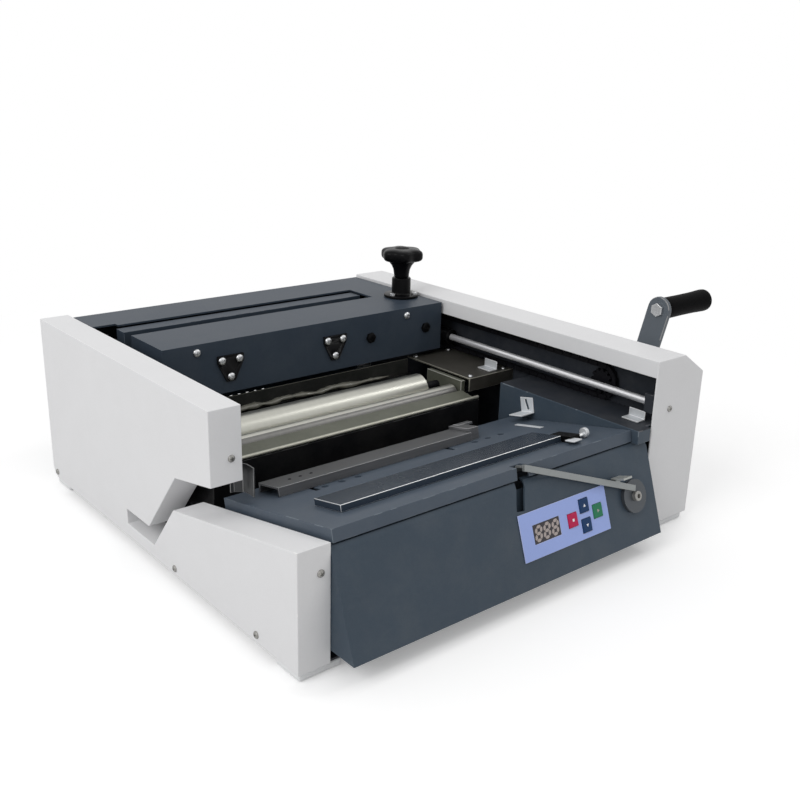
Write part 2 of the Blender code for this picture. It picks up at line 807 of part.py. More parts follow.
def build_left_side():
    edge = left_outline()
    shell = outline("left_housing", edge, "X", 0, LEFT_WIDTH)
    room = outline("left_room", inset(edge, SHEET), "X", SHEET, LEFT_WIDTH + OVERRUN)
    cut(shell, room)
    dress(shell, WHITE_PAINT)
    plate = outline("left_side_plate", inset(edge, SHEET + GAP), "X",
                    LEFT_PLATE_X0, LEFT_PLATE_X1)
    half = LEFT_ARM_HEIGHT / 2 + GAP * 2
    window = block("left_window",
                   (LEFT_PLATE_X0 - OVERRUN, LEFT_SLEEVE_Y0 - CAR_TRAVEL - OVERRUN, ROD_Z - half),
                   (LEFT_PLATE_X1 + OVERRUN, LEFT_SLEEVE_Y0 + LEFT_SLEEVE_LENGTH + OVERRUN,
                    ROD_Z + half))
    cut(plate, window)
    dress(plate, DARK_STEEL)
    return shell, plate


def build_right_side():
    corners = [
        (X_RIGHT, 0),
        (X_END, 0),
        (X_END, HOUSING_HEIGHT - RIGHT_CHAMFER_HEIGHT),
        (X_END - RIGHT_CHAMFER_WIDTH, HOUSING_HEIGHT),
        (X_RIGHT, HOUSING_HEIGHT),
    ]
    shell = outline("right_housing", corners, "Y", 0, HOUSING_DEPTH)
    inner = inset(corners, SHEET)
    room_points = [(x, -OVERRUN if z < SHEET * 2 else z) for x, z in inner]
    room = outline("right_room", room_points, "Y", SHEET, HOUSING_DEPTH - SHEET)
    side = block("right_open_side",
                 (X_RIGHT - OVERRUN, SHEET, -OVERRUN),
                 (X_RIGHT + SHEET + OVERRUN, HOUSING_DEPTH - SHEET,
                  HOUSING_HEIGHT - RIGHT_FLANGE_HEIGHT))
    bore = bar("crank_bore", (X_END - SHEET - OVERRUN, CRANK_Y, CRANK_Z),
               (X_END + OVERRUN, CRANK_Y, CRANK_Z), CRANK_SHAFT_RADIUS + BUSH_WALL + GAP * 2)
    inlet = block("inlet_opening",
                  (INLET_X - INLET_WIDTH / 2 - GAP, HOUSING_DEPTH - SHEET - OVERRUN,
                   INLET_Z - INLET_HEIGHT / 2 - GAP),
                  (INLET_X + INLET_WIDTH / 2 + GAP, HOUSING_DEPTH + OVERRUN,
                   INLET_Z + INLET_HEIGHT / 2 + GAP))
    cut(shell, room, side, bore, inlet)
    dress(shell, WHITE_PAINT)
    plate = block("right_side_plate",
                  (RIGHT_PLATE_X0, SHEET + GAP, SHEET + GAP),
                  (RIGHT_PLATE_X1, HOUSING_DEPTH - SHEET - GAP,
                   HOUSING_HEIGHT - SHEET - GAP))
    bores = []
    for label, y, z, radius in (
            ("crank", CRANK_Y, CRANK_Z, CRANK_SHAFT_RADIUS),
            ("idler", IDLER_Y, CRANK_Z, CRANK_SHAFT_RADIUS),
            ("motor", MAIN_ROLLER_Y, MAIN_ROLLER_Z, ROLLER_SHAFT_RADIUS)):
        bores.append(bar(label + "_plate_bore", (RIGHT_PLATE_X0 - OVERRUN, y, z),
                         (RIGHT_PLATE_X1 + OVERRUN, y, z), radius + GAP))
    cut(plate, *bores)
    dress(plate, DARK_STEEL)
    return shell, plate


def build_base(posts, trims):
    """The pan with its two cross beams, the table's posts and the tank's legs."""
    frame = block("base_frame", (X_LEFT + GAP, SHEET + GAP, 0),
                  (X_END - SHEET - GAP, HOUSING_DEPTH - SHEET - GAP, SHEET))
    beams = []
    hollows = []
    for y in (FRONT_BEAM_Y, REAR_BEAM_Y):
        low = Vector((X_LEFT + GAP, y, SHEET / 2))
        high = Vector((RIGHT_PLATE_X0 - GAP, y + BEAM_DEPTH, SHEET + BEAM_HEIGHT))
        beams.append(block("beam", low, high))
        low_wall = Vector((-OVERRUN, BEAM_WALL, SHEET / 2 + BEAM_WALL))
        high_wall = Vector((-OVERRUN, BEAM_WALL, BEAM_WALL))
        hollows.append(block("beam_hollow", low + low_wall, high - high_wall))
    legs = []
    for x in (TANK_X0 + TANK_LEG_INSET, TANK_X1 - TANK_LEG_INSET - TANK_LEG_WIDTH):
        for y in (TANK_Y0 + TANK_FRONT_WALL, TANK_Y1 - TANK_REAR_WALL - TANK_LEG_WIDTH):
            legs.append(block("leg", (x, y, SHEET / 2),
                              (x + TANK_LEG_WIDTH, y + TANK_LEG_WIDTH, TANK_Z0 - GAP)))
    weld(frame, bundle("beams", beams), bundle("legs", legs), bundle("posts", posts))
    cut(frame, bundle("beam_hollows", hollows), bundle("post_trims", trims))
    dress(frame, DARK_STEEL)


def build_feet():
    right = X_END - FOOT_INSET - FOOT_WIDTH
    rear = HOUSING_DEPTH - FOOT_INSET - FOOT_LENGTH
    for name, x, y in (("foot_front_left", FOOT_INSET, FOOT_INSET),
                       ("foot_front_right", right, FOOT_INSET),
                       ("foot_rear_left", FOOT_INSET, rear),
                       ("foot_rear_right", right, rear)):
        foot = block(name, (x, y, -FOOT_HEIGHT), (x + FOOT_WIDTH, y + FOOT_LENGTH, -GAP))
        dress(round_edges(foot, FOOT_ROUND, 1), PALE_RUBBER)


def build_rear_cover():
    y1 = HOUSING_DEPTH - SHEET - GAP
    profile = [
        (y1 - REAR_COVER_LIP, REAR_COVER_HEIGHT),
        (y1 - REAR_COVER_LIP, REAR_COVER_HEIGHT - SHEET),
        (y1 - SHEET, REAR_COVER_HEIGHT - SHEET),
        (y1 - SHEET, SHEET + GAP),
        (y1, SHEET + GAP),
        (y1, REAR_COVER_HEIGHT),
    ]
    cover = outline("rear_cover", profile, "X", X_LEFT + GAP, X_RIGHT - GAP)
    slots = []
    middle = (X_LEFT + X_RIGHT) / 2
    for index in range(VENT_COUNT):
        x = middle + (index - (VENT_COUNT - 1) / 2) * VENT_PITCH
        slots.append(block("vent", (x - VENT_WIDTH / 2, y1 - SHEET - OVERRUN, VENT_Z),
                           (x + VENT_WIDTH / 2, y1 + OVERRUN, VENT_Z + VENT_HEIGHT)))
    dress(cut(cover, bundle("vents", slots)), SLATE_PAINT)


# Front panel and controls

def lever_slot_points():
    """Outline (x, t) of the arc-shaped slot that the lever's pin runs in."""
    half = LEVER_SLOT_WIDTH / 2
    centre = (LEVER_X, LEVER_T)
    start = LEVER_REST - LEVER_SLOT_EARLY
    end = LEVER_REST + LEVER_SWING + LEVER_SLOT_LATE
    outer = arc(centre, LEVER_LENGTH + half, start, end, 8)
    inner = arc(centre, LEVER_LENGTH - half, end, start, 8)
    return outer + inner


def turn_to_panel(piece):
    """Lays an (x, t) outline made along Y on to the panel's slope."""
    piece.rotation_euler = (PANEL_TILT, 0, 0)
    piece.location = (0, PANEL_FOOT_Y, PANEL_FOOT_Z)
    return piece


def button_places():
    return {
        "stop_button": (BUTTON_CENTRE_X - BUTTON_SIDE_STEP, LABEL_T),
        "up_button": (BUTTON_CENTRE_X, LABEL_T + BUTTON_RISE_STEP),
        "down_button": (BUTTON_CENTRE_X, LABEL_T - BUTTON_RISE_STEP),
        "start_button": (BUTTON_CENTRE_X + BUTTON_SIDE_STEP, LABEL_T),
    }


def control_openings():
    """Cutters through panel and label for the four buttons and the display."""
    reach = SHEET + OVERRUN
    openings = []
    for name, (x, t) in button_places().items():
        openings.append(panel_block(
            name + "_opening",
            (x - BUTTON_WIDTH / 2 - GAP, t - BUTTON_HEIGHT / 2 - GAP, -reach),
            (x + BUTTON_WIDTH / 2 + GAP, t + BUTTON_HEIGHT / 2 + GAP, reach)))
    openings.append(panel_block(
        "display_opening",
        (DISPLAY_X - DISPLAY_WIDTH / 2 - GAP, LABEL_T - DISPLAY_HEIGHT / 2 - GAP, -reach),
        (DISPLAY_X + DISPLAY_WIDTH / 2 + GAP, LABEL_T + DISPLAY_HEIGHT / 2 + GAP, reach)))
    return openings


def build_front_panel():
    edge = [
        (PANEL_FOOT_Y, PANEL_FOOT_Z),
        (PANEL_BACK_Y, PANEL_FOOT_Z),
        (PANEL_BACK_Y, PANEL_STRIP_Z),
        (PANEL_STRIP_Y, PANEL_STRIP_Z),
        (PANEL_TOP_Y, PANEL_TOP_Z),
    ]
    panel = outline("front_panel", edge, "X", PANEL_X0, PANEL_X1)
    inner = inset(edge, SHEET)
    back = PANEL_BACK_Y + OVERRUN
    room_points = [(back if y > PANEL_STRIP_Y + SHEET else y, z) for y, z in inner]
    room = outline("panel_room", room_points, "X", PANEL_X0 + SHEET, PANEL_X1 - SHEET)
    slot = turn_to_panel(outline("lever_slot", lever_slot_points(), "Y",
                                 -OVERRUN, PANEL_BACK_Y - PANEL_FOOT_Y))
    bore = bar("lever_bore", on_panel(LEVER_X, LEVER_T, -SHEET - OVERRUN),
               on_panel(LEVER_X, LEVER_T, OVERRUN), LEVER_SHAFT_RADIUS + GAP)
    openings = control_openings()
    cut(panel, room, slot, bore, *openings)
    dress(panel, SLATE_PAINT)
    return openings


def build_controls(openings):
    label = panel_block(
        "control_label",
        (LABEL_X - LABEL_WIDTH / 2, LABEL_T - LABEL_HEIGHT / 2, GAP),
        (LABEL_X + LABEL_WIDTH / 2, LABEL_T + LABEL_HEIGHT / 2, GAP + LABEL_THICKNESS))
    dress(cut(label, *openings), LABEL_FILM)
    top = GAP + LABEL_THICKNESS
    display = panel_block(
        "display",
        (DISPLAY_X - DISPLAY_WIDTH / 2, LABEL_T - DISPLAY_HEIGHT / 2, top - DISPLAY_DEPTH),
        (DISPLAY_X + DISPLAY_WIDTH / 2, LABEL_T + DISPLAY_HEIGHT / 2, top))
    dress(display, BLACK_PLASTIC)
    stem_end = top + BUTTON_PROUD - BUTTON_DEPTH - BUTTON_STEM
    board_face = top - DISPLAY_DEPTH - GAP
    board = panel_block(
        "button_board",
        (LABEL_X - BOARD_WIDTH / 2, LABEL_T - BOARD_HEIGHT / 2, board_face - BOARD_THICKNESS),
        (LABEL_X + BOARD_WIDTH / 2, LABEL_T + BOARD_HEIGHT / 2, board_face))
    switches = []
    for name, (x, t) in button_places().items():
        home = carrier(name + "_guide", on_panel(x, t, top), MACHINE)
        cap = panel_block(
            name,
            (x - BUTTON_WIDTH / 2, t - BUTTON_HEIGHT / 2, top + BUTTON_PROUD - BUTTON_DEPTH),
            (x + BUTTON_WIDTH / 2, t + BUTTON_HEIGHT / 2, top + BUTTON_PROUD))
        round_edges(cap, BUTTON_ROUND, 1)
        stem = bar(name + "_stem", on_panel(x, t, stem_end),
                   on_panel(x, t, top + BUTTON_PROUD - BUTTON_DEPTH + OVERRUN),
                   BUTTON_STEM_RADIUS, 12)
        dress(weld(cap, stem), BUTTON_LOOKS[name], home)
        half = SWITCH_WIDTH / 2
        if stem_end - BUTTON_TRAVEL - GAP > board_face:
            switches.append(panel_block(
                name + "_switch", (x - half, t - half, board_face - BOARD_THICKNESS / 2),
                (x + half, t + half, stem_end - BUTTON_TRAVEL - GAP)))
    inset_x = BOARD_WIDTH / 2 - BOARD_STANDOFF_RADIUS * 2
    inset_t = BOARD_HEIGHT / 2 - BOARD_STANDOFF_RADIUS * 2
    for side_x in (-1, 1):
        for side_t in (-1, 1):
            x, t = LABEL_X + side_x * inset_x, LABEL_T + side_t * inset_t
            switches.append(bar("standoff", on_panel(x, t, board_face - BOARD_THICKNESS / 2),
                                on_panel(x, t, -SHEET - GAP), BOARD_STANDOFF_RADIUS, 12))
    dress(weld(board, *switches), CIRCUIT_BOARD)


# Cover table and what stands on it

def bar_studs(x0, x1, s, height):
    """Two studs with washers that hold a bar down through the table's slots."""
    studs = []
    for x in (x0 + STUD_END_INSET, x1 - STUD_END_INSET):
        foot = -SHEET - GAP - STUD_WASHER_THICKNESS
        studs.append(bar("stud", on_table(x, s, foot - GAP), on_table(x, s, height - BAR_WALL / 2),
                         STUD_RADIUS, 12))
        studs.append(bar("stud_washer", on_table(x, s, foot), on_table(x, s, -SHEET - GAP),
                         STUD_WASHER_RADIUS, 16))
    return studs


def stud_slots(x0, x1, s0, s1):
    slots = []
    half = STUD_RADIUS + GAP
    for x in (x0 + STUD_END_INSET, x1 - STUD_END_INSET):
        slots.append(table_block("stud_slot", (x - half, s0 - half, -SHEET - OVERRUN),
                                 (x + half, s1 + half, OVERRUN)))
    return slots


def build_table():
    plate = table_block("table_plate", (TABLE_X0, 0, -TABLE_SKIRT), (TABLE_X1, TABLE_LENGTH, 0))
    room = table_block("table_room", (TABLE_X0 + SHEET, SHEET, -TABLE_SKIRT - OVERRUN),
                       (TABLE_X1 - SHEET, TABLE_LENGTH + OVERRUN, -SHEET))
    tip = LEVER_X + LEVER_LENGTH * math.cos(LEVER_REST)
    notch = table_block("lever_notch",
                        (tip - LEVER_SLOT_WIDTH / 2 - OVERRUN, -OVERRUN, -TABLE_SKIRT - OVERRUN),
                        (tip + LEVER_SLOT_WIDTH / 2 + OVERRUN, LEVER_PIN_LENGTH, OVERRUN))
    holes = []
    for start in (PEG_HOLE_LEFT_X, PEG_HOLE_RIGHT_X):
        for index in range(PEG_HOLE_COUNT):
            x = start + index * PEG_HOLE_PITCH
            holes.append(bar("peg_hole", on_table(x, PEG_HOLE_S, -SHEET - OVERRUN),
                             on_table(x, PEG_HOLE_S, OVERRUN), PEG_HOLE_RADIUS, 12))
    front_s = (FRONT_BAR_S0 + FRONT_BAR_S1) / 2
    rear_s = (REAR_BAR_S0 + REAR_BAR_S1) / 2
    holes += stud_slots(FRONT_BAR_X0, FRONT_BAR_X1, front_s, front_s + FRONT_BAR_TRAVEL)
    holes += stud_slots(REAR_BAR_X0, REAR_BAR_X1, rear_s - REAR_BAR_TRAVEL, rear_s)
    half = STRIP_WIDTH / 2 + GAP
    holes.append(table_block("strip_slot", (STRIP_X - half, STRIP_S0 - GAP, -SHEET - OVERRUN),
                             (STRIP_X + half, STRIP_S1 + GAP, OVERRUN)))
    cut(plate, room, notch, bundle("table_holes", holes))
    dress(plate, SLATE_PAINT)
    strip = table_block("wear_strip", (STRIP_X - STRIP_WIDTH / 2, STRIP_S0, -SHEET),
                        (STRIP_X + STRIP_WIDTH / 2, STRIP_S1, GAP / 2))
    dress(strip, BRIGHT_STEEL)


def table_posts():
    """Posts under the table, and cutters that trim them to its slope."""
    posts = []
    trims = []
    reach = TABLE_POST_RADIUS * 2
    for x in (TABLE_X0 + TABLE_POST_INSET, TABLE_X1 - TABLE_POST_INSET):
        for s in (TABLE_POST_INSET, TABLE_LENGTH - TABLE_POST_INSET):
            top = on_table(x, s, -SHEET - GAP)
            posts.append(bar("post", (top.x, top.y, SHEET / 2),
                             (top.x, top.y, top.z + OVERRUN * 2), TABLE_POST_RADIUS, 12))
            trims.append(table_block("post_trim", (x - reach, s - reach, -SHEET - GAP),
                                     (x + reach, s + reach, OVERRUN * 3)))
    return posts, trims


def build_fender():
    wall = block("fender", (FENDER_X, FENDER_FRONT_Y, FENDER_FOOT),
                 (FENDER_X + SHEET, FENDER_REAR_Y, FENDER_TOP))
    under_panel = block("fender_panel_relief",
                        (FENDER_X - OVERRUN, FENDER_FRONT_Y - OVERRUN, FENDER_FOOT - OVERRUN),
                        (FENDER_X + SHEET + OVERRUN, PANEL_BACK_Y + GAP, PANEL_STRIP_Z + GAP))
    flange = block("fender_flange", (FENDER_X + SHEET / 2, SHEET + GAP, FENDER_TOP - SHEET),
                   (RIGHT_PLATE_X0 - GAP, FENDER_REAR_Y, FENDER_TOP))
    face = block("fender_face", (FENDER_X + SHEET / 2, FENDER_FRONT_Y, PANEL_STRIP_Z + GAP),
                 (PANEL_X1, FENDER_FRONT_Y + SHEET, FENDER_TOP))
    bridge = block("fender_bridge", (FENDER_X + SHEET / 2, FENDER_FRONT_Y, FENDER_TOP - SHEET),
                   (PANEL_X1, SHEET * 2, FENDER_TOP))
    weld(wall, flange, face, bridge)
    cut(wall, under_panel)
    dress(wall, SLATE_PAINT)


def build_front_nip_bar():
    guide = carrier("front_nip_slide", on_table(FRONT_BAR_X0, FRONT_BAR_S0), MACHINE)
    s = (FRONT_BAR_S0 + FRONT_BAR_S1) / 2
    top = table_block("front_nip_bar", (FRONT_BAR_X0, FRONT_BAR_S0, GAP),
                      (FRONT_BAR_X1, FRONT_BAR_S1, FRONT_BAR_HEIGHT))
    room = table_block("front_bar_room", (FRONT_BAR_X0 + BAR_WALL, FRONT_BAR_S0 + BAR_WALL, -GAP),
                       (FRONT_BAR_X1 - BAR_WALL, FRONT_BAR_S1 - BAR_WALL,
                        FRONT_BAR_HEIGHT - BAR_WALL))
    cut(top, room)
    weld(top, *bar_studs(FRONT_BAR_X0, FRONT_BAR_X1, s, FRONT_BAR_HEIGHT))
    dress(top, DARK_STEEL, guide)
    h = FRONT_BAR_HEIGHT / 2 + GAP
    x0 = FRONT_BAR_X1 + GAP
    holder = table_block("nip_adjuster", (x0, ADJUSTER_BLOCK_S0, GAP),
                         (x0 + ADJUSTER_BLOCK_WIDTH, ADJUSTER_BLOCK_S1, FRONT_BAR_HEIGHT))
    s = ADJUSTER_SCREW_S
    screw = bar("adjuster_screw", on_table(x0 + ADJUSTER_BLOCK_WIDTH / 2, s, h),
                on_table(x0 + ADJUSTER_LENGTH, s, h), ADJUSTER_RADIUS, 12)
    tab = table_block("adjuster_tab",
                      (x0 - ADJUSTER_TAB_LEAD, ADJUSTER_BLOCK_S0 - ADJUSTER_TAB_DEPTH,
                       ADJUSTER_TAB_RISE),
                      (x0 - ADJUSTER_TAB_LEAD + ADJUSTER_TAB_WIDTH, ADJUSTER_BLOCK_S0 + OVERRUN,
                       ADJUSTER_TAB_RISE + STOP_SHEET))
    end = x0 + ADJUSTER_LENGTH - GAP
    cap = bar("adjuster_cap", on_table(end, s, ADJUSTER_CAP_RADIUS + GAP),
              on_table(end + ADJUSTER_CAP_LENGTH, s, ADJUSTER_CAP_RADIUS + GAP),
              ADJUSTER_CAP_RADIUS, 16)
    dress(weld(holder, screw, tab, cap), BRIGHT_STEEL, guide)


def build_rear_nip_bar():
    guide = carrier("rear_nip_slide", on_table(REAR_BAR_X0, REAR_BAR_S0), MACHINE)
    s = (REAR_BAR_S0 + REAR_BAR_S1) / 2
    top = table_block("rear_nip_bar", (REAR_BAR_X0, REAR_BAR_S0, GAP),
                      (REAR_BAR_X1, REAR_BAR_S1, REAR_BAR_HEIGHT))
    room = table_block("rear_bar_room", (REAR_BAR_X0 - OVERRUN, REAR_BAR_S0 + BAR_WALL, -GAP),
                       (REAR_BAR_X1 + OVERRUN, REAR_BAR_S1 - BAR_WALL,
                        REAR_BAR_HEIGHT - BAR_WALL))
    cut(top, room)
    weld(top, *bar_studs(REAR_BAR_X0, REAR_BAR_X1, s, REAR_BAR_HEIGHT))
    x0 = REAR_BAR_X1 - BAR_WALL
    clamp = table_block("rear_bar_clamp", (x0, REAR_BAR_S0 + BAR_WALL, GAP),
                        (x0 + CLAMP_WIDTH, REAR_BAR_S1 - BAR_WALL, CLAMP_HEIGHT))
    tab = table_block("clamp_tab",
                      (x0 + CLAMP_WIDTH / 2, REAR_BAR_S1 - BAR_WALL - CLAMP_TAB_WIDTH,
                       CLAMP_HEIGHT - OVERRUN),
                      (x0 + CLAMP_WIDTH / 2 + CLAMP_TAB_LENGTH, REAR_BAR_S1 - BAR_WALL,
                       CLAMP_HEIGHT + GAP))
    dress(weld(top, clamp, tab), ZINC, guide)


def build_side_stop():
    guide = carrier("side_stop_slide", on_table(STOP_X, STOP_S0), MACHINE)
    s1 = STOP_S0 + STOP_WIDTH
    upright = table_block("side_stop", (STOP_X - STOP_SHEET, STOP_S0, STOP_RISE),
                          (STOP_X, s1, STOP_HEIGHT))
    foot = table_block("side_stop_foot", (STOP_X - STOP_FOOT, STOP_S0, STOP_RISE),
                       (STOP_X - STOP_SHEET / 2, s1, STOP_RISE + STOP_SHEET))
    middle = on_table(STOP_X, (STOP_S0 + s1) / 2, STOP_HEIGHT * STOP_SLOT_SHARE)
    slot = block("side_stop_slot",
                 (-STOP_SHEET - OVERRUN, -STOP_SLOT_WIDTH / 2, -STOP_SLOT_LENGTH / 2),
                 (OVERRUN, STOP_SLOT_WIDTH / 2, STOP_SLOT_LENGTH / 2), middle, STOP_SLOT_TILT)
    weld(upright, foot)
    cut(upright, slot)
    dress(upright, ZINC, guide)


def build_lever():
    pivot = carrier("lever_pivot", on_panel(LEVER_X, LEVER_T), MACHINE)
    n0 = GAP
    disc = bar("nip_lever", on_panel(LEVER_X, LEVER_T, n0),
               on_panel(LEVER_X, LEVER_T, n0 + LEVER_DISC_THICKNESS), LEVER_DISC_RADIUS, 32)
    shaft = bar("lever_shaft", on_panel(LEVER_X, LEVER_T, -LEVER_SHAFT_LENGTH),
                on_panel(LEVER_X, LEVER_T, n0 + LEVER_DISC_THICKNESS / 2), LEVER_SHAFT_RADIUS)
    base = n0 + LEVER_DISC_THICKNESS * LEVER_SEAT_SHARE
    top = base + LEVER_BAR_THICKNESS
    cosine, sine = math.cos(LEVER_REST), math.sin(LEVER_REST)
    half = LEVER_BAR_WIDTH / 2
    start = Vector((LEVER_X, LEVER_T + LEVER_OFFSET))
    tip = Vector((LEVER_X + cosine * LEVER_LENGTH, LEVER_T + sine * LEVER_LENGTH))
    along = (tip - start).normalized()
    side = Vector((along.y, -along.x)) * half
    end = tip + along * half
    points = [start + side, end + side, end - side, start - side]
    arm = turn_to_panel(outline("lever_bar", points, "Y", -top, -base))
    pin = bar("lever_pin", on_panel(tip.x, tip.y, base - LEVER_PIN_LENGTH),
              on_panel(tip.x, tip.y, top - LEVER_BAR_THICKNESS / 2), LEVER_PIN_RADIUS, 12)
    tab_x = start.x + along.x * LEVER_TAB_ALONG
    tab_t = start.y + along.y * LEVER_TAB_ALONG + half
    tab = panel_block("lever_tab",
                      (tab_x - LEVER_TAB_WIDTH / 2, tab_t + half, base),
                      (tab_x + LEVER_TAB_WIDTH / 2, tab_t + half + LEVER_TAB_THICKNESS,
                       base + LEVER_TAB_DEPTH))
    stalk = panel_block("lever_tab_stalk",
                        (tab_x - LEVER_TAB_WIDTH / 4, tab_t - half, base),
                        (tab_x + LEVER_TAB_WIDTH / 4, tab_t + half + LEVER_TAB_THICKNESS / 2,
                         top))
    cam_n = -SHEET - GAP - LEVER_CAM_THICKNESS
    cam = bar("nip_cam", on_panel(LEVER_X, LEVER_T, cam_n),
              on_panel(LEVER_X, LEVER_T, cam_n + LEVER_CAM_THICKNESS), LEVER_CAM_RADIUS)
    weld(disc, shaft, arm, pin, stalk, tab, cam)
    dress(disc, ZINC, pivot)
    bolt = bar("lever_bolt", on_panel(LEVER_X, LEVER_T, top + GAP),
               on_panel(LEVER_X, LEVER_T, top + GAP + LEVER_BOLT_HEIGHT), LEVER_BOLT_RADIUS, 6)
    dress(bolt, BRIGHT_STEEL, pivot)


# Guide rods

def build_rods(left_plate, right_plate):
    front = SHEET + GAP
    rear = HOUSING_DEPTH - SHEET - GAP
    left_front = OVERHANG_Y + SHEET + GAP
    half = ROD_BLOCK_HEIGHT / 2
    for side, plate, x, y0, low_x, high_x in (
            ("right", right_plate, RIGHT_ROD_X, front, X_RIGHT + SHEET,
             RIGHT_PLATE_X0 + SHEET / 2),
            ("left", left_plate, LEFT_ROD_X, left_front, SHEET + GAP,
             LEFT_PLATE_X0 + SHEET / 2)):
        rod = bar(side + "_guide_rod", (x, y0, ROD_Z), (x, rear, ROD_Z), ROD_RADIUS)
        dress(rod, BRIGHT_STEEL)
        for start in (y0, rear - ROD_BLOCK_DEPTH):
            weld(plate, block("rod_block", (low_x, start, ROD_Z - half),
                              (high_x, start + ROD_BLOCK_DEPTH, ROD_Z + half)))
        cut(plate, bar("rod_bore", (x, y0 - OVERRUN, ROD_Z), (x, rear + OVERRUN, ROD_Z),
                       ROD_RADIUS + GAP))
    x1 = RIGHT_ROD_X - ROD_RADIUS - GAP
    top = ROD_Z - SLEEVE_RADIUS - GAP * 3
    for name, y, floor in (("front_rod_bracket", REST_BRACKET_FRONT_Y, FENDER_TOP),
                           ("middle_rod_bracket", REST_BRACKET_MIDDLE_Y, END_COVER_TOP)):
        corner = [
            (x1 - REST_BRACKET_FOOT, floor + GAP),
            (x1, floor + GAP),
            (x1, top),
            (x1 - REST_BRACKET_SHEET, top),
            (x1 - REST_BRACKET_SHEET, floor + GAP + REST_BRACKET_SHEET),
            (x1 - REST_BRACKET_FOOT, floor + GAP + REST_BRACKET_SHEET),
        ]
        dress(outline(name, corner, "Y", y, y + REST_BRACKET_WIDTH), ZINC)


# Clamp carriage

def carriage_outline():
    return [
        (CAR_LEFT_X, CAR_FRONT_Y),
        (CAR_RIGHT_X, CAR_FRONT_Y),
        (CAR_RIGHT_X, CAR_REAR_Y),
        (CAR_TAIL_X, CAR_REAR_Y),
        (CAR_TAIL_X, CAR_TAIL_Y),
        (CAR_LEFT_X, CAR_TAIL_Y),
    ]


def plate_bolt_places(centre):
    return [
        (centre - PLATE_BOLT_SPAN / 2, PLATE_TOP_Z),
        (centre + PLATE_BOLT_SPAN / 2, PLATE_TOP_Z),
        (centre, PLATE_TOP_Z - PLATE_BOLT_DROP),
    ]


def build_carriage_cover(carriage):
    edge = carriage_outline()
    cover = outline("carriage_cover", edge, "Z", CAR_BOTTOM, CAR_TOP)
    room = outline("carriage_room", inset(edge, SHEET), "Z", CAR_BOTTOM - OVERRUN,
                   CAR_TOP - SHEET)
    slot = block("book_slot",
                 (CAR_TAIL_X - OVERRUN, SLOT_FRONT_Y, CAR_BOTTOM - OVERRUN),
                 (SLOT_RIGHT_X, SLOT_REAR_Y, CAR_TOP + OVERRUN))
    notch = block("slot_notch",
                  (CAR_TAIL_X - OVERRUN, SLOT_REAR_Y - OVERRUN, CAR_BOTTOM - OVERRUN),
                  (SLOT_NOTCH_X, SLOT_NOTCH_Y, CAR_TOP + OVERRUN))
    spindle = bar("spindle_bore", (KNOB_X, KNOB_Y, CAR_TOP - SHEET - OVERRUN),
                  (KNOB_X, KNOB_Y, CAR_TOP + OVERRUN), SPINDLE_RADIUS + GAP)
    reach = CAR_FRONT_Y + SHEET + OVERRUN
    holes = [bar("face_hole", (x, CAR_FRONT_Y - OVERRUN, z), (x, reach, z),
                 SCREW_SHANK_RADIUS + GAP, 8)
             for centre in PLATE_CENTRES_X for x, z in plate_bolt_places(centre)]
    face = CAR_FRONT_Y + GAP
    heads = [screw_along((x, face, CAR_SCREW_Z), (0, -1, 0), CAR_SCREW_RADIUS,
                         CAR_SCREW_HEIGHT, SHEET, 8) for x in CAR_SCREW_XS]
    heads += [screw_along((x, face, CAR_HEX_Z), (0, -1, 0), HEX_RADIUS, HEX_HEIGHT, SHEET, 6)
              for x in CAR_HEX_XS]
    arm = block("arm_opening", (CAR_TAIL_X - OVERRUN, LEFT_SLEEVE_Y0 - GAP, CAR_BOTTOM - OVERRUN),
                (CAR_TAIL_X + SHEET + OVERRUN, LEFT_SLEEVE_Y0 + LEFT_SLEEVE_LENGTH + GAP,
                 ROD_Z + LEFT_ARM_HEIGHT / 2 + GAP))
    cut(cover, room, slot, notch, spindle, arm, bundle("face_holes", holes))
    weld(cover, bundle("face_screws", heads))
    dress(cover, SLATE_PAINT, carriage)


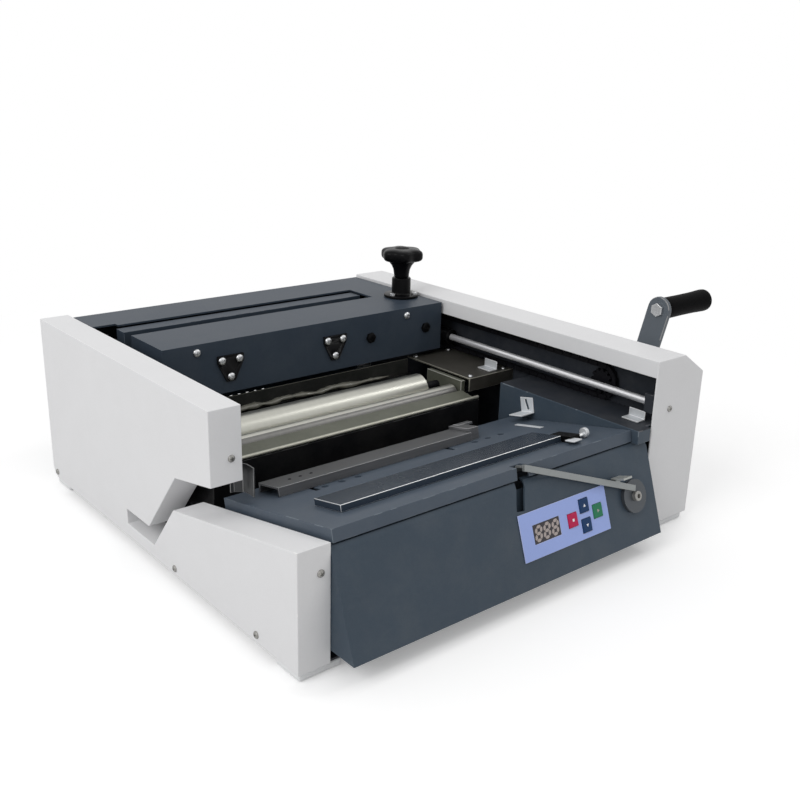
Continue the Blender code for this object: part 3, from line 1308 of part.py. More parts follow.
def build_jaws(carriage, jaw_home):
    top = CAR_TOP - SHEET - GAP
    x0 = CAR_LEFT_X + SHEET + GAP
    end_x = CAR_RIGHT_X - SHEET - GAP
    plate_x = end_x - END_PLATE_THICKNESS
    jaw_y1 = SLOT_FRONT_Y - GAP
    jaw_y0 = jaw_y1 - FIXED_JAW_THICKNESS
    jaw_x1 = SLOT_RIGHT_X - JAW_ROD_INSET / 2
    rod_xs = (x0 + JAW_ROD_INSET, jaw_x1 - JAW_ROD_INSET)
    rear_y1 = CAR_REAR_Y - SHEET - GAP
    rear_y0 = rear_y1 - REAR_BAR_DEPTH
    rack_x1 = KNOB_X - PINION_RADIUS - GAP
    rack_x0 = rack_x1 - RACK_WIDTH
    fixed = block("fixed_jaw", (x0, jaw_y0, CAR_BOTTOM + GAP), (plate_x - GAP, jaw_y1, top))
    window = block("rack_window", (rack_x0 - OVERRUN, jaw_y0 - OVERRUN, PINION_Z - OVERRUN),
                   (plate_x + OVERRUN, jaw_y1 + OVERRUN, top + OVERRUN))
    rods = [bar("jaw_rod", (x, jaw_y1 - FIXED_JAW_THICKNESS / 2, JAW_ROD_Z),
                (x, rear_y1, JAW_ROD_Z), JAW_ROD_RADIUS, 12) for x in rod_xs]
    cut(fixed, window)
    weld(fixed, bundle("jaw_rods", rods))
    dress(fixed, DARK_STEEL, carriage)
    end = block("carriage_frame", (plate_x, CAR_FRONT_Y + SHEET + GAP, CAR_BOTTOM + GAP),
                (end_x, rear_y1, top))
    rear = block("carriage_rear_bar", (CAR_TAIL_X + SHEET + GAP, rear_y0, REAR_BAR_Z0),
                 (plate_x + SHEET, rear_y1, REAR_BAR_Z1))
    rear_holes = [bar("rear_bar_bore", (x, rear_y0 - OVERRUN, JAW_ROD_Z),
                      (x, rear_y1 + OVERRUN, JAW_ROD_Z), JAW_ROD_RADIUS + GAP, 12)
                  for x in rod_xs]
    weld(end, rear)
    cut(end, bundle("rear_bar_bores", rear_holes))
    dress(end, DARK_STEEL, carriage)
    jaw_back = JAW_FRONT_Y + JAW_THICKNESS
    moving = block("moving_jaw", (x0, JAW_FRONT_Y, CAR_BOTTOM + GAP), (jaw_x1, jaw_back, top))
    moving_holes = [bar("jaw_bore", (x, JAW_FRONT_Y - OVERRUN, JAW_ROD_Z),
                        (x, jaw_back + OVERRUN, JAW_ROD_Z), JAW_ROD_RADIUS + GAP, 12)
                    for x in rod_xs]
    tie = block("rack_tie", (jaw_x1 - OVERRUN, jaw_back - JAW_THICKNESS / 2, PINION_Z),
                (rack_x1, jaw_back, PINION_Z + RACK_HEIGHT))
    rack = block("jaw_rack", (rack_x0, jaw_back - RACK_LEAD - JAW_THICKNESS / 2, PINION_Z),
                 (rack_x1, jaw_back, PINION_Z + RACK_HEIGHT))
    weld(moving, tie, rack)
    cut(moving, bundle("jaw_bores", moving_holes))
    dress(moving, DARK_STEEL, jaw_home)
    return end


def build_slides(carriage, frame):
    """Bearing sleeves on the two rods and the lug on the chain."""
    y0 = CAR_FRONT_Y - SLEEVE_LEAD
    sleeve = bar("rod_sleeve", (RIGHT_ROD_X, y0, ROD_Z),
                 (RIGHT_ROD_X, y0 + SLEEVE_LENGTH, ROD_Z), SLEEVE_RADIUS)
    pad = block("right_sleeve_pad",
                (CAR_RIGHT_X + GAP, CAR_FRONT_Y + SHEET, ROD_Z - SLEEVE_RADIUS * SLEEVE_PAD_SHARE),
                (RIGHT_ROD_X, y0 + SLEEVE_LENGTH - SHEET, ROD_Z + SLEEVE_RADIUS * SLEEVE_PAD_SHARE))
    bore = bar("right_sleeve_bore", (RIGHT_ROD_X, y0 - OVERRUN, ROD_Z),
               (RIGHT_ROD_X, y0 + SLEEVE_LENGTH + OVERRUN, ROD_Z), ROD_RADIUS + GAP)
    half = LEFT_ARM_HEIGHT / 2
    y1 = LEFT_SLEEVE_Y0 + LEFT_SLEEVE_LENGTH
    left = bar("left_sleeve", (LEFT_ROD_X, LEFT_SLEEVE_Y0, ROD_Z), (LEFT_ROD_X, y1, ROD_Z),
               SLEEVE_RADIUS)
    arm = block("left_arm", (LEFT_ROD_X, LEFT_SLEEVE_Y0 + GAP, ROD_Z - half),
                (CAR_LEFT_X, y1 - GAP, ROD_Z + half))
    tongue = block("left_arm_tongue", (CAR_TAIL_X + SHEET + GAP * 2, LEFT_SLEEVE_Y0 + GAP,
                                       ROD_Z - half),
                   (CAR_LEFT_X, CAR_REAR_Y - SHEET - REAR_BAR_DEPTH / 2, ROD_Z + half))
    left_bore = bar("left_sleeve_bore", (LEFT_ROD_X, LEFT_SLEEVE_Y0 - OVERRUN, ROD_Z),
                    (LEFT_ROD_X, y1 + OVERRUN, ROD_Z), ROD_RADIUS + GAP)
    weld(frame, left, arm, tongue)
    cut(frame, left_bore)
    chain_top = CRANK_Z + CHAIN_RADIUS + CHAIN_THICKNESS / 2 + GAP
    riser_x1 = CHAIN_X0 - GAP
    riser_x0 = riser_x1 - LUG_SHEET
    lug = block("chain_lug", (riser_x0, LUG_Y, ROD_Z + SLEEVE_RADIUS * SLEEVE_PAD_SHARE),
                (riser_x1, LUG_Y + LUG_WIDTH, chain_top + LUG_SHEET))
    top = block("chain_lug_top", (riser_x0, LUG_Y, chain_top),
                (CHAIN_X1, LUG_Y + LUG_WIDTH, chain_top + LUG_SHEET))
    foot = block("chain_lug_foot", (RIGHT_ROD_X - LUG_SHEET, LUG_Y, ROD_Z + SLEEVE_RADIUS * SLEEVE_PAD_SHARE),
                 (riser_x1, LUG_Y + LUG_WIDTH, ROD_Z + SLEEVE_RADIUS + LUG_SHEET))
    weld(sleeve, pad, lug, top, foot)
    dress(cut(sleeve, bore), BLACK_PLASTIC, carriage)


def build_jaw_plates(carriage):
    """The two plates on the carriage's face, each with its three screws."""
    y1 = CAR_FRONT_Y - GAP
    y0 = y1 - PLATE_TRIANGLE_THICKNESS
    margin = PLATE_TRIANGLE_MARGIN
    for name, centre in zip(("left_jaw_plate", "right_jaw_plate"), PLATE_CENTRES_X):
        places = plate_bolt_places(centre)
        left, right, low = places
        points = [
            (left[0] - margin, left[1] + margin),
            (left[0] - margin, left[1] - margin / 2),
            (low[0] - margin, low[1] - margin),
            (low[0] + margin, low[1] - margin),
            (right[0] + margin, right[1] - margin / 2),
            (right[0] + margin, right[1] + margin),
        ]
        plate = outline(name, points, "Y", y0, y1)
        screws = [screw_along((x, y0 + GAP, z), (0, -1, 0), CAR_SCREW_RADIUS, CAR_SCREW_HEIGHT,
                              PLATE_TRIANGLE_THICKNESS + SHEET, 8) for x, z in places]
        dress(weld(plate, bundle("plate_screws", screws)), BLACK_CASTING, carriage)


def screw_along(place, out, radius, height, depth, sides):
    """One screw: a head on a face and a shank into it; out points away."""
    out = Vector(out)
    place = Vector(place)
    head = bar("screw", place, place + out * height, radius, sides)
    shank = bar("screw_shank", place - out * depth, place + out * (height / 2),
                SCREW_SHANK_RADIUS, 6)
    weld(head, shank)
    solid = bundle("screw_solid", [head])
    bpy.data.objects.remove(shank, do_unlink=True)
    return solid


# Clamp knob

def build_knob(carriage):
    pivot = carrier("knob_axis", (KNOB_X, KNOB_Y, CAR_TOP), carriage)
    base = CAR_TOP + GAP
    shoulder = base + POST_FLANGE_THICKNESS
    top = shoulder + POST_HEIGHT
    bore_radius = SPINDLE_RADIUS + GAP
    post = turned("knob_post", [
        (bore_radius, top), (POST_RADIUS, top), (POST_RADIUS, shoulder),
        (POST_FLANGE_RADIUS, shoulder), (POST_FLANGE_RADIUS, base), (bore_radius, base)],
        (KNOB_X, KNOB_Y, 0))
    caps = []
    for index in range(POST_SCREW_COUNT):
        angle = POST_SCREW_ANGLE + 2 * math.pi * index / POST_SCREW_COUNT
        reach = (POST_RADIUS + POST_FLANGE_RADIUS) / 2
        x, y = KNOB_X + reach * math.cos(angle), KNOB_Y + reach * math.sin(angle)
        caps.append(bar("post_screw", (x, y, shoulder - GAP),
                        (x, y, shoulder + CAR_SCREW_HEIGHT), POST_SCREW_RADIUS, 8))
    dress(weld(post, bundle("post_screws", caps)), BLACK_PLASTIC, carriage)
    neck = top + GAP
    head = neck + KNOB_NECK_HEIGHT
    crown = head + KNOB_HEAD_HEIGHT
    lobes = []
    steps = KNOB_LOBES * 8
    for index in range(steps):
        angle = 2 * math.pi * index / steps
        radius = KNOB_HEAD_RADIUS - KNOB_LOBE_DEPTH / 2 * (1 + math.cos(KNOB_LOBES * angle))
        lobes.append((KNOB_X + radius * math.cos(angle), KNOB_Y + radius * math.sin(angle)))
    star = outline("clamp_knob", lobes, "Z", head, crown)
    round_edges(star, KNOB_HEAD_HEIGHT * KNOB_ROUND_SHARE, 1)
    stem = bar("knob_neck", (KNOB_X, KNOB_Y, neck), (KNOB_X, KNOB_Y, head + OVERRUN),
               KNOB_NECK_RADIUS, 16, KNOB_HEAD_RADIUS * KNOB_NECK_SHARE)
    hole = bar("knob_bore", (KNOB_X, KNOB_Y, neck - OVERRUN),
               (KNOB_X, KNOB_Y, head + KNOB_HEAD_HEIGHT / 2), bore_radius)
    weld(star, stem)
    cut(star, hole)
    dress(star, BLACK_PLASTIC, pivot)
    pinion = outline("knob_spindle", gear_points((KNOB_X, KNOB_Y), PINION_RADIUS,
                                                 GEAR_TOOTH / 2, PINION_TEETH),
                     "Z", PINION_Z, PINION_Z + PINION_HEIGHT)
    spindle = bar("spindle", (KNOB_X, KNOB_Y, PINION_Z + PINION_HEIGHT / 2),
                  (KNOB_X, KNOB_Y, head + KNOB_HEAD_HEIGHT / 2 - GAP), SPINDLE_RADIUS)
    dress(weld(pinion, spindle), BRIGHT_STEEL, pivot)


# Glue tank, rollers and what closes them

def build_tank():
    tank = block("glue_tank", (TANK_X0, TANK_Y0, TANK_Z0), (TANK_X1, TANK_Y1, TANK_TOP))
    room = block("tank_room",
                 (TANK_X0 + TANK_END_WALL, TANK_Y0 + TANK_FRONT_WALL, TANK_Z0 + TANK_FLOOR),
                 (TANK_X1 - TANK_END_WALL, TANK_Y1 - TANK_REAR_WALL, TANK_TOP + OVERRUN))
    cutters = [room]
    bearings = ((MAIN_ROLLER_Y, MAIN_ROLLER_Z), (FRONT_ROLLER_Y, FRONT_ROLLER_Z))
    ears = []
    for index, x0 in enumerate((TANK_X0, TANK_X1 - TANK_END_WALL)):
        ears.append(block("tank_ear",
                          (x0, FRONT_ROLLER_Y - FRONT_ROLLER_RADIUS, TANK_TOP - OVERRUN),
                          (x0 + TANK_END_WALL, MAIN_ROLLER_Y + MAIN_ROLLER_RADIUS,
                           MAIN_ROLLER_Z + EAR_RISE)))
        for y, z in bearings:
            cutters.append(bar("bearing_bore", (x0 - OVERRUN, y, z),
                               (x0 + TANK_END_WALL + OVERRUN, y, z),
                               ROLLER_SHAFT_RADIUS + GAP))
    floor_z = TANK_Z0 + TANK_FLOOR / 2
    heater_ys = (FRONT_ROLLER_Y, MAIN_ROLLER_Y)
    for y in heater_ys:
        cutters.append(bar("heater_bore", (TANK_X0 + TANK_END_WALL, y, floor_z),
                           (TANK_X1 + OVERRUN, y, floor_z), HEATER_RADIUS + GAP))
    sensor_y = FRONT_ROLLER_Y - SENSOR_OFFSET
    cutters.append(bar("sensor_bore", (TANK_X1 - SENSOR_LENGTH, sensor_y, floor_z),
                       (TANK_X1 + OVERRUN, sensor_y, floor_z), SENSOR_RADIUS + GAP, 12))
    weld(tank, *ears)
    cut(tank, *cutters)
    dress(tank, BLACK_CASTING)
    heaters = [bar("tank_heater", (TANK_X0 + TANK_END_WALL + GAP, y, floor_z),
                   (TANK_X1 + HEATER_LEAD, y, floor_z), HEATER_RADIUS, 16) for y in heater_ys]
    sensor = bar("tank_sensor", (TANK_X1 - SENSOR_LENGTH + GAP, sensor_y, floor_z),
                 (TANK_X1 + HEATER_LEAD, sensor_y, floor_z), SENSOR_RADIUS, 12)
    dress(sensor, BRIGHT_STEEL)
    bridge = block("heater_bridge",
                   (TANK_X1 + HEATER_LEAD / 2, FRONT_ROLLER_Y, floor_z - HEATER_RADIUS / 2),
                   (TANK_X1 + HEATER_LEAD, MAIN_ROLLER_Y, floor_z + HEATER_RADIUS / 2))
    dress(weld(*heaters, bridge), BRIGHT_STEEL)


def roller_profile(radius, x0, x1, stub_x0, stub_x1):
    """Profile of a roller with journals, from its right end to its left."""
    shaft = ROLLER_SHAFT_RADIUS
    return [(0, stub_x1), (shaft, stub_x1), (shaft, x1), (radius, x1), (radius, x0),
            (shaft, x0), (shaft, stub_x0), (0, stub_x0)]


def build_rollers():
    x0 = TANK_X0 + TANK_END_WALL + ROLLER_END_GAP
    left = TANK_X0 - ROLLER_STUB
    gear_x0 = TANK_X1 + GEAR_STANDOFF
    gear_x1 = gear_x0 + GEAR_WIDTH
    span = math.hypot(MAIN_ROLLER_Y - FRONT_ROLLER_Y, MAIN_ROLLER_Z - FRONT_ROLLER_Z)
    motor_x = RIGHT_PLATE_X1 + MOTOR_BOX_WIDTH / 2
    for name, y, z, radius, x1, end in (
            ("main_roller", MAIN_ROLLER_Y, MAIN_ROLLER_Z, MAIN_ROLLER_RADIUS, MAIN_ROLLER_X1,
             motor_x),
            ("front_roller", FRONT_ROLLER_Y, FRONT_ROLLER_Z, FRONT_ROLLER_RADIUS,
             FRONT_ROLLER_X1, gear_x1 + ROLLER_STUB)):
        axle = carrier(name + "_axle", (TANK_X0, y, z), MACHINE)
        roller = turned(name, roller_profile(radius, x0, x1, left, end), (0, y, z), "X")
        gear = outline(name + "_gear", gear_points((y, z), span / 2 - GAP, GEAR_TOOTH,
                                                   GEAR_TEETH), "X", gear_x0, gear_x1)
        dress(weld(roller, gear), BRIGHT_STEEL, axle)


def build_tank_trim():
    x0 = TANK_X0 + TANK_END_WALL + GAP
    x1 = TANK_X1 - TANK_END_WALL - GAP
    floor = TANK_TOP + GAP
    front = TANK_Y0 + LIP_RADIUS
    wiper = outline("wiper_plate", [
        (front, floor), (TANK_Y0 + TANK_FRONT_WALL, floor),
        (WIPER_REAR_Y, floor + WIPER_RISE), (WIPER_REAR_Y, floor + WIPER_RISE + SHEET),
        (front, floor + SHEET)], "X", x0, x1)
    lip = bar("tank_lip", (TANK_X0, TANK_Y0 + LIP_RADIUS, floor + LIP_RADIUS),
              (TANK_X1, TANK_Y0 + LIP_RADIUS, floor + LIP_RADIUS), LIP_RADIUS, 12)
    dress(weld(wiper, lip), STAINED_PLATE)
    middle = TANK_Y1 - TANK_REAR_WALL / 2
    scraper = block("scraper_plate", (x0, middle - SHEET / 2, floor),
                    (x1, middle + SHEET / 2, TANK_TOP + SCRAPER_HEIGHT))
    dress(scraper, DARK_STEEL)
    top = END_COVER_TOP
    cover_x0 = TANK_X1 + GAP
    plate = block("tank_end_cover", (cover_x0, END_COVER_Y0, top - SHEET),
                  (RIGHT_PLATE_X0 - GAP, END_COVER_Y1, top))
    skirt = block("end_cover_skirt", (cover_x0, END_COVER_Y0, top - END_COVER_SKIRT),
                  (RIGHT_PLATE_X0 - GAP, END_COVER_Y0 + SHEET, top - SHEET / 2))
    dress(weld(plate, skirt), ZINC)
    guard_y0 = OVERHANG_Y + SHEET
    reach = [(X_LEFT + GAP, guard_y0 + GUARD_DEPTH)]
    reach += arc((X_LEFT + GAP, guard_y0 + GUARD_DEPTH - GUARD_REACH), GUARD_REACH,
                 math.pi / 2, 0, 6)[1:]
    reach.append((X_LEFT + GAP + GUARD_REACH, guard_y0))
    inner = [(x - GUARD_SHEET if index > 1 else x, y - GUARD_SHEET if index < 4 else y)
             for index, (x, y) in enumerate(reach)]
    guard = outline("left_guard", inner + reach[::-1], "Z", GUARD_Z, GUARD_Z + GUARD_HEIGHT)
    dress(guard, ZINC)


# Chain drive and crank

def chain_loop(radius):
    front = arc((CRANK_Y, CRANK_Z), radius, math.pi / 2, math.pi * 1.5, 12)
    rear = arc((IDLER_Y, CRANK_Z), radius, -math.pi / 2, math.pi / 2, 12)
    return front + rear


def build_chain():
    half = CHAIN_THICKNESS / 2
    chain = outline("drive_chain", chain_loop(CHAIN_RADIUS + half), "X", CHAIN_X0, CHAIN_X1)
    room = outline("chain_room", chain_loop(CHAIN_RADIUS - half), "X", CHAIN_X0 - OVERRUN,
                   CHAIN_X1 + OVERRUN)
    dress(cut(chain, room), DARK_STEEL)


def build_crank():
    pivot = carrier("crank_axis", (X_END, CRANK_Y, CRANK_Z), MACHINE)
    sprocket_outer = CHAIN_RADIUS - CHAIN_THICKNESS / 2 - GAP
    arm_x0 = X_END + CRANK_ARM_STANDOFF
    arm_x1 = arm_x0 + CRANK_ARM_THICKNESS
    for name, y, end, empty in (
            ("crank_sprocket", CRANK_Y, arm_x0 - GAP, pivot),
            ("idler_sprocket", IDLER_Y, RIGHT_PLATE_X1 + GEAR_WIDTH,
             carrier("idler_axis", (RIGHT_PLATE_X0, IDLER_Y, CRANK_Z), MACHINE))):
        wheel = outline(name, gear_points((y, CRANK_Z), sprocket_outer, SPROCKET_TOOTH,
                                          SPROCKET_TEETH), "X", CHAIN_X0, CHAIN_X1)
        shaft = bar(name + "_shaft", (CHAIN_X0 + GAP, y, CRANK_Z), (end, y, CRANK_Z),
                    CRANK_SHAFT_RADIUS)
        dress(weld(wheel, shaft), ZINC, empty)
    bush_x0 = X_END - SHEET - GAP - BUSH_FLANGE_THICKNESS
    bush = turned("crank_bush", [
        (CRANK_SHAFT_RADIUS + GAP, X_END + BUSH_WALL),
        (CRANK_SHAFT_RADIUS + BUSH_WALL, X_END + BUSH_WALL),
        (CRANK_SHAFT_RADIUS + BUSH_WALL, bush_x0 + BUSH_FLANGE_THICKNESS),
        (BUSH_FLANGE_RADIUS, bush_x0 + BUSH_FLANGE_THICKNESS),
        (BUSH_FLANGE_RADIUS, bush_x0),
        (CRANK_SHAFT_RADIUS + GAP, bush_x0)], (0, CRANK_Y, CRANK_Z), "X", 16)
    dress(bush, BLACK_PLASTIC)
    lean = math.pi / 2 + CRANK_LEAN
    tip_y = CRANK_Y + CRANK_ARM_LENGTH * math.cos(lean)
    tip_z = CRANK_Z + CRANK_ARM_LENGTH * math.sin(lean)
    half = CRANK_ARM_WIDTH / 2
    points = arc((CRANK_Y, CRANK_Z), half, lean + math.pi / 2, lean + math.pi * 1.5, 10)
    points += arc((tip_y, tip_z), half, lean - math.pi / 2, lean + math.pi / 2, 10)
    arm = outline("crank_arm", points, "X", arm_x0, arm_x1)
    hole = bar("grip_hole", (arm_x0 - OVERRUN, tip_y, tip_z), (arm_x1 + OVERRUN, tip_y, tip_z),
               GRIP_BOLT_RADIUS + GAP)
    dress(cut(arm, hole), SLATE_PAINT, pivot)
    head_x0 = arm_x0 - GAP - GRIP_HEAD_HEIGHT
    bolt = bar("grip_bolt", (head_x0, tip_y, tip_z), (arm_x0 - GAP, tip_y, tip_z),
               GRIP_HEAD_RADIUS, 6)
    shank = bar("grip_bolt_shank", (head_x0 + GRIP_HEAD_HEIGHT / 2, tip_y, tip_z),
                (GRIP_X0 + GRIP_LENGTH * GRIP_BORE_SHARE, tip_y, tip_z), GRIP_BOLT_RADIUS, 16)
    weld(bolt, shank)
    dress(bolt, BRIGHT_STEEL, pivot)
    grip_axis = carrier("grip_axis", (GRIP_X0, tip_y, tip_z), pivot)
    core = GRIP_BOLT_RADIUS + GAP
    dome = GRIP_RADIUS * GRIP_DOME_SHARE
    profile = [(0, GRIP_X1)]
    for index in range(1, GRIP_DOME_STEPS + 1):
        angle = math.pi / 2 * (1 - index / GRIP_DOME_STEPS)
        profile.append((GRIP_RADIUS - dome + dome * math.cos(angle),
                        GRIP_X1 - dome + dome * math.sin(angle)))
    for share in GRIP_SHOULDER_SHARES:
        profile.append((GRIP_RADIUS, GRIP_X0 + GRIP_LENGTH * share))
    profile.append((GRIP_WAIST_RADIUS, GRIP_X0 + GRIP_LENGTH * GRIP_WAIST_SHARE))
    deep = GRIP_X0 + GRIP_LENGTH * GRIP_BORE_SHARE + GAP
    profile += [(GRIP_WAIST_RADIUS, GRIP_X0), (core, GRIP_X0), (core, deep), (0, deep)]
    grip = turned("crank_grip", profile, (0, tip_y, tip_z), "X")
    dress(grip, BLACK_PLASTIC, grip_axis)


# Motor and electrics

def build_electrics():
    x0 = RIGHT_PLATE_X1 + GAP
    half = MOTOR_BOX_SIZE / 2
    box = block("gear_motor", (x0, MAIN_ROLLER_Y - half, MAIN_ROLLER_Z - half),
                (x0 + MOTOR_BOX_WIDTH, MAIN_ROLLER_Y + half, MAIN_ROLLER_Z + half))
    barrel = bar("motor_barrel", (x0 + MOTOR_BOX_WIDTH - OVERRUN, MAIN_ROLLER_Y, MAIN_ROLLER_Z),
                 (x0 + MOTOR_BOX_WIDTH + MOTOR_LENGTH, MAIN_ROLLER_Y, MAIN_ROLLER_Z),
                 MOTOR_RADIUS)
    bore = bar("motor_bore", (x0 - OVERRUN, MAIN_ROLLER_Y, MAIN_ROLLER_Z),
               (RIGHT_PLATE_X1 + MOTOR_BOX_WIDTH / 2 + GAP, MAIN_ROLLER_Y, MAIN_ROLLER_Z),
               ROLLER_SHAFT_RADIUS + GAP)
    dress(cut(weld(box, barrel), bore), DARK_STEEL)
    face = x0 + BOARD_STANDOFF_RADIUS * 2
    board = block("control_board", (face, CONTROL_Y0, CONTROL_Z),
                  (face + BOARD_THICKNESS, CONTROL_Y0 + CONTROL_LENGTH,
                   CONTROL_Z + CONTROL_HEIGHT))
    extras = []
    inset_y = BOARD_STANDOFF_RADIUS * 2
    for y in (CONTROL_Y0 + inset_y, CONTROL_Y0 + CONTROL_LENGTH - inset_y):
        for z in (CONTROL_Z + inset_y, CONTROL_Z + CONTROL_HEIGHT - inset_y):
            extras.append(bar("board_post", (x0, y, z), (face + BOARD_THICKNESS / 2, y, z),
                              BOARD_STANDOFF_RADIUS, 12))
    chip = CONTROL_CHIP
    chip_z = CONTROL_Z + chip * 2
    for share in CONTROL_CHIP_SHARES:
        y = CONTROL_Y0 + CONTROL_LENGTH * share
        extras.append(block("board_part", (face + BOARD_THICKNESS / 2, y, chip_z),
                            (face + BOARD_THICKNESS + chip, y + chip * 2,
                             chip_z + CONTROL_CHIP_HEIGHT)))
    dress(weld(board, *extras), CIRCUIT_BOARD)
    low = Vector((INLET_X - INLET_WIDTH / 2, HOUSING_DEPTH - INLET_DEPTH,
                  INLET_Z - INLET_HEIGHT / 2))
    high = Vector((INLET_X + INLET_WIDTH / 2, HOUSING_DEPTH - INLET_SINK,
                   INLET_Z + INLET_HEIGHT / 2))
    body = block("mains_inlet", low, high)
    wall = Vector((SHEET, 0, SHEET))
    recess = block("inlet_recess", low + wall + Vector((0, SHEET, 0)),
                   high - wall + Vector((0, OVERRUN, 0)))
    flange = block("inlet_flange",
                   low + Vector((-INLET_FLANGE, INLET_DEPTH - INLET_SEAT, -INLET_FLANGE)),
                   Vector((high.x + INLET_FLANGE, HOUSING_DEPTH - SHEET - GAP,
                           high.z + INLET_FLANGE)))
    weld(body, flange)
    cut(body, recess)
    pins = []
    for side in (-1, 0, 1):
        x = INLET_X + side * PIN_PITCH
        pins.append(block("inlet_pin", (x - PIN_DEPTH / 2, low.y + SHEET / 2,
                                        INLET_Z - PIN_WIDTH / 2),
                          (x + PIN_DEPTH / 2, high.y - PIN_RECESS, INLET_Z + PIN_WIDTH / 2)))
    dress(weld(body, *pins), BLACK_PLASTIC)


# Housing screws

def housing_screw_places():
    """Each screw's face, as a point and the direction out of the housing."""
    front = HOUSING_DEPTH * SIDE_SCREW_FRONT_SHARE
    middle = HOUSING_DEPTH * SIDE_SCREW_MIDDLE_SHARE
    rear = HOUSING_DEPTH * SIDE_SCREW_REAR_SHARE
    overhang_z = (OVERHANG_Z + HOUSING_HEIGHT) / 2 - OVERHANG_SCREW_DROP
    return [
        ((0, rear, SIDE_SCREW_Z), (-1, 0, 0)),
        ((0, middle, SIDE_SCREW_Z - MIDDLE_SCREW_DROP), (-1, 0, 0)),
        ((0, front, SIDE_SCREW_Z), (-1, 0, 0)),
        ((LEFT_WIDTH * OVERHANG_SCREW_SHARE, OVERHANG_Y, overhang_z), (0, -1, 0)),
        ((LEFT_WIDTH * BOX_SCREW_SHARE, 0, BOX_TOP_FRONT * BOX_SCREW_Z_SHARE), (0, -1, 0)),
        ((X_RIGHT + RIGHT_PLATE_RECESS, 0, HOUSING_HEIGHT * FLANGE_SCREW_Z_SHARE), (0, -1, 0)),
        ((X_END, front, SIDE_SCREW_Z), (1, 0, 0)),
        ((X_END, middle, SIDE_SCREW_Z), (1, 0, 0)),
        ((X_END, rear, SIDE_SCREW_Z), (1, 0, 0)),
    ]


def build_housing_screws(left, right):
    """Each screw head is one body with the housing that it holds."""
    heads = {left: [], right: []}
    for place, out in housing_screw_places():
        place, out = Vector(place), Vector(out)
        housing = left if place.x < X_LEFT else right
        heads[housing].append(screw_along(place - out * GAP, out, SCREW_HEAD_RADIUS,
                                          SCREW_HEAD_HEIGHT, SHEET / 2, 8))
    for housing, screws in heads.items():
        weld(housing, bundle(housing.name + "_screws", screws))


def build_machine():
    left, left_plate = build_left_side()
    right, right_plate = build_right_side()
    posts, trims = table_posts()
    build_base(posts, trims)
    build_feet()
    build_rear_cover()
    openings = build_front_panel()
    build_controls(openings)
    build_table()
    build_fender()
    build_front_nip_bar()
    build_rear_nip_bar()
    build_side_stop()
    build_lever()
    build_rods(left_plate, right_plate)
    carriage = carrier("carriage_slide", (RIGHT_ROD_X, CAR_FRONT_Y, ROD_Z), MACHINE)
    jaw_home = carrier("jaw_slide", (SLOT_RIGHT_X, JAW_FRONT_Y, JAW_ROD_Z), carriage)
    build_carriage_cover(carriage)
    frame = build_jaws(carriage, jaw_home)
    build_slides(carriage, frame)
    build_jaw_plates(carriage)
    build_knob(carriage)
    build_tank()
    build_rollers()
    build_tank_trim()
    build_chain()
    build_crank()
    build_electrics()
    build_housing_screws(left, right)


build_machine()
bpy.context.view_layer.update()
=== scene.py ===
# %% [markdown]
# # A desktop hot-glue binding machine
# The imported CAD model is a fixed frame: it says where each part is and how it moves. This
# script gives the frame its looks. Every piece is built around the CAD node that it stands
# for, so nothing has to be fitted by eye, and it rides on the same body as that node.

# %% Load the frame
import json
import math

import bmesh
import bpy
from mathutils import Matrix, Vector, noise

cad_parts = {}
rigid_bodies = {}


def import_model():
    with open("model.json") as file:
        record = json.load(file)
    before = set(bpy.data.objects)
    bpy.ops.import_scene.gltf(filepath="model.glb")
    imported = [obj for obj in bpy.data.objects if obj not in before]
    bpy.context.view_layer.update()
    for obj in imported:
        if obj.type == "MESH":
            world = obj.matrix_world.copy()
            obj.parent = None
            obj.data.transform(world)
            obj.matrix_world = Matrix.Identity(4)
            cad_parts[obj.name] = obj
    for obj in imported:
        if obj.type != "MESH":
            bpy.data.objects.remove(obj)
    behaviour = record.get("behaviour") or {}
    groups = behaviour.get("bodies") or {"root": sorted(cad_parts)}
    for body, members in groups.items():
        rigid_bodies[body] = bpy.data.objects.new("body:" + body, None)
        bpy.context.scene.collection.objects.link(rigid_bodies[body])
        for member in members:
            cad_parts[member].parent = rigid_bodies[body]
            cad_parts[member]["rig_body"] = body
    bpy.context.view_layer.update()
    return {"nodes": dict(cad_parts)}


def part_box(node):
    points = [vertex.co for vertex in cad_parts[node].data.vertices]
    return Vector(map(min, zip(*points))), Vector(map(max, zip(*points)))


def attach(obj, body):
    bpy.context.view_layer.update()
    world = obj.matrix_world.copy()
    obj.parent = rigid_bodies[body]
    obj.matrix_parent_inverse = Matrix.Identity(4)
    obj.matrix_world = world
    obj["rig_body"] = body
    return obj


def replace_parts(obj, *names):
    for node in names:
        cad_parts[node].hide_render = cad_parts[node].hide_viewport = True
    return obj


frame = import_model()
scene = bpy.context.scene
body_of_node = {node: obj["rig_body"] for node, obj in frame["nodes"].items()}

# %% [markdown]
# ## Places on the machine
# The maker's drawing starts at the left housing's outer lower front corner, while the
# frame's origin is under the middle of the whole machine. Three small functions turn the
# drawing's places into the frame's: one for the machine, one for the sloping control panel
# and one for the sloping cover table, where t and s run up and back along the slope. A
# fourth one gives the matrix that lays a flat shape on the panel.

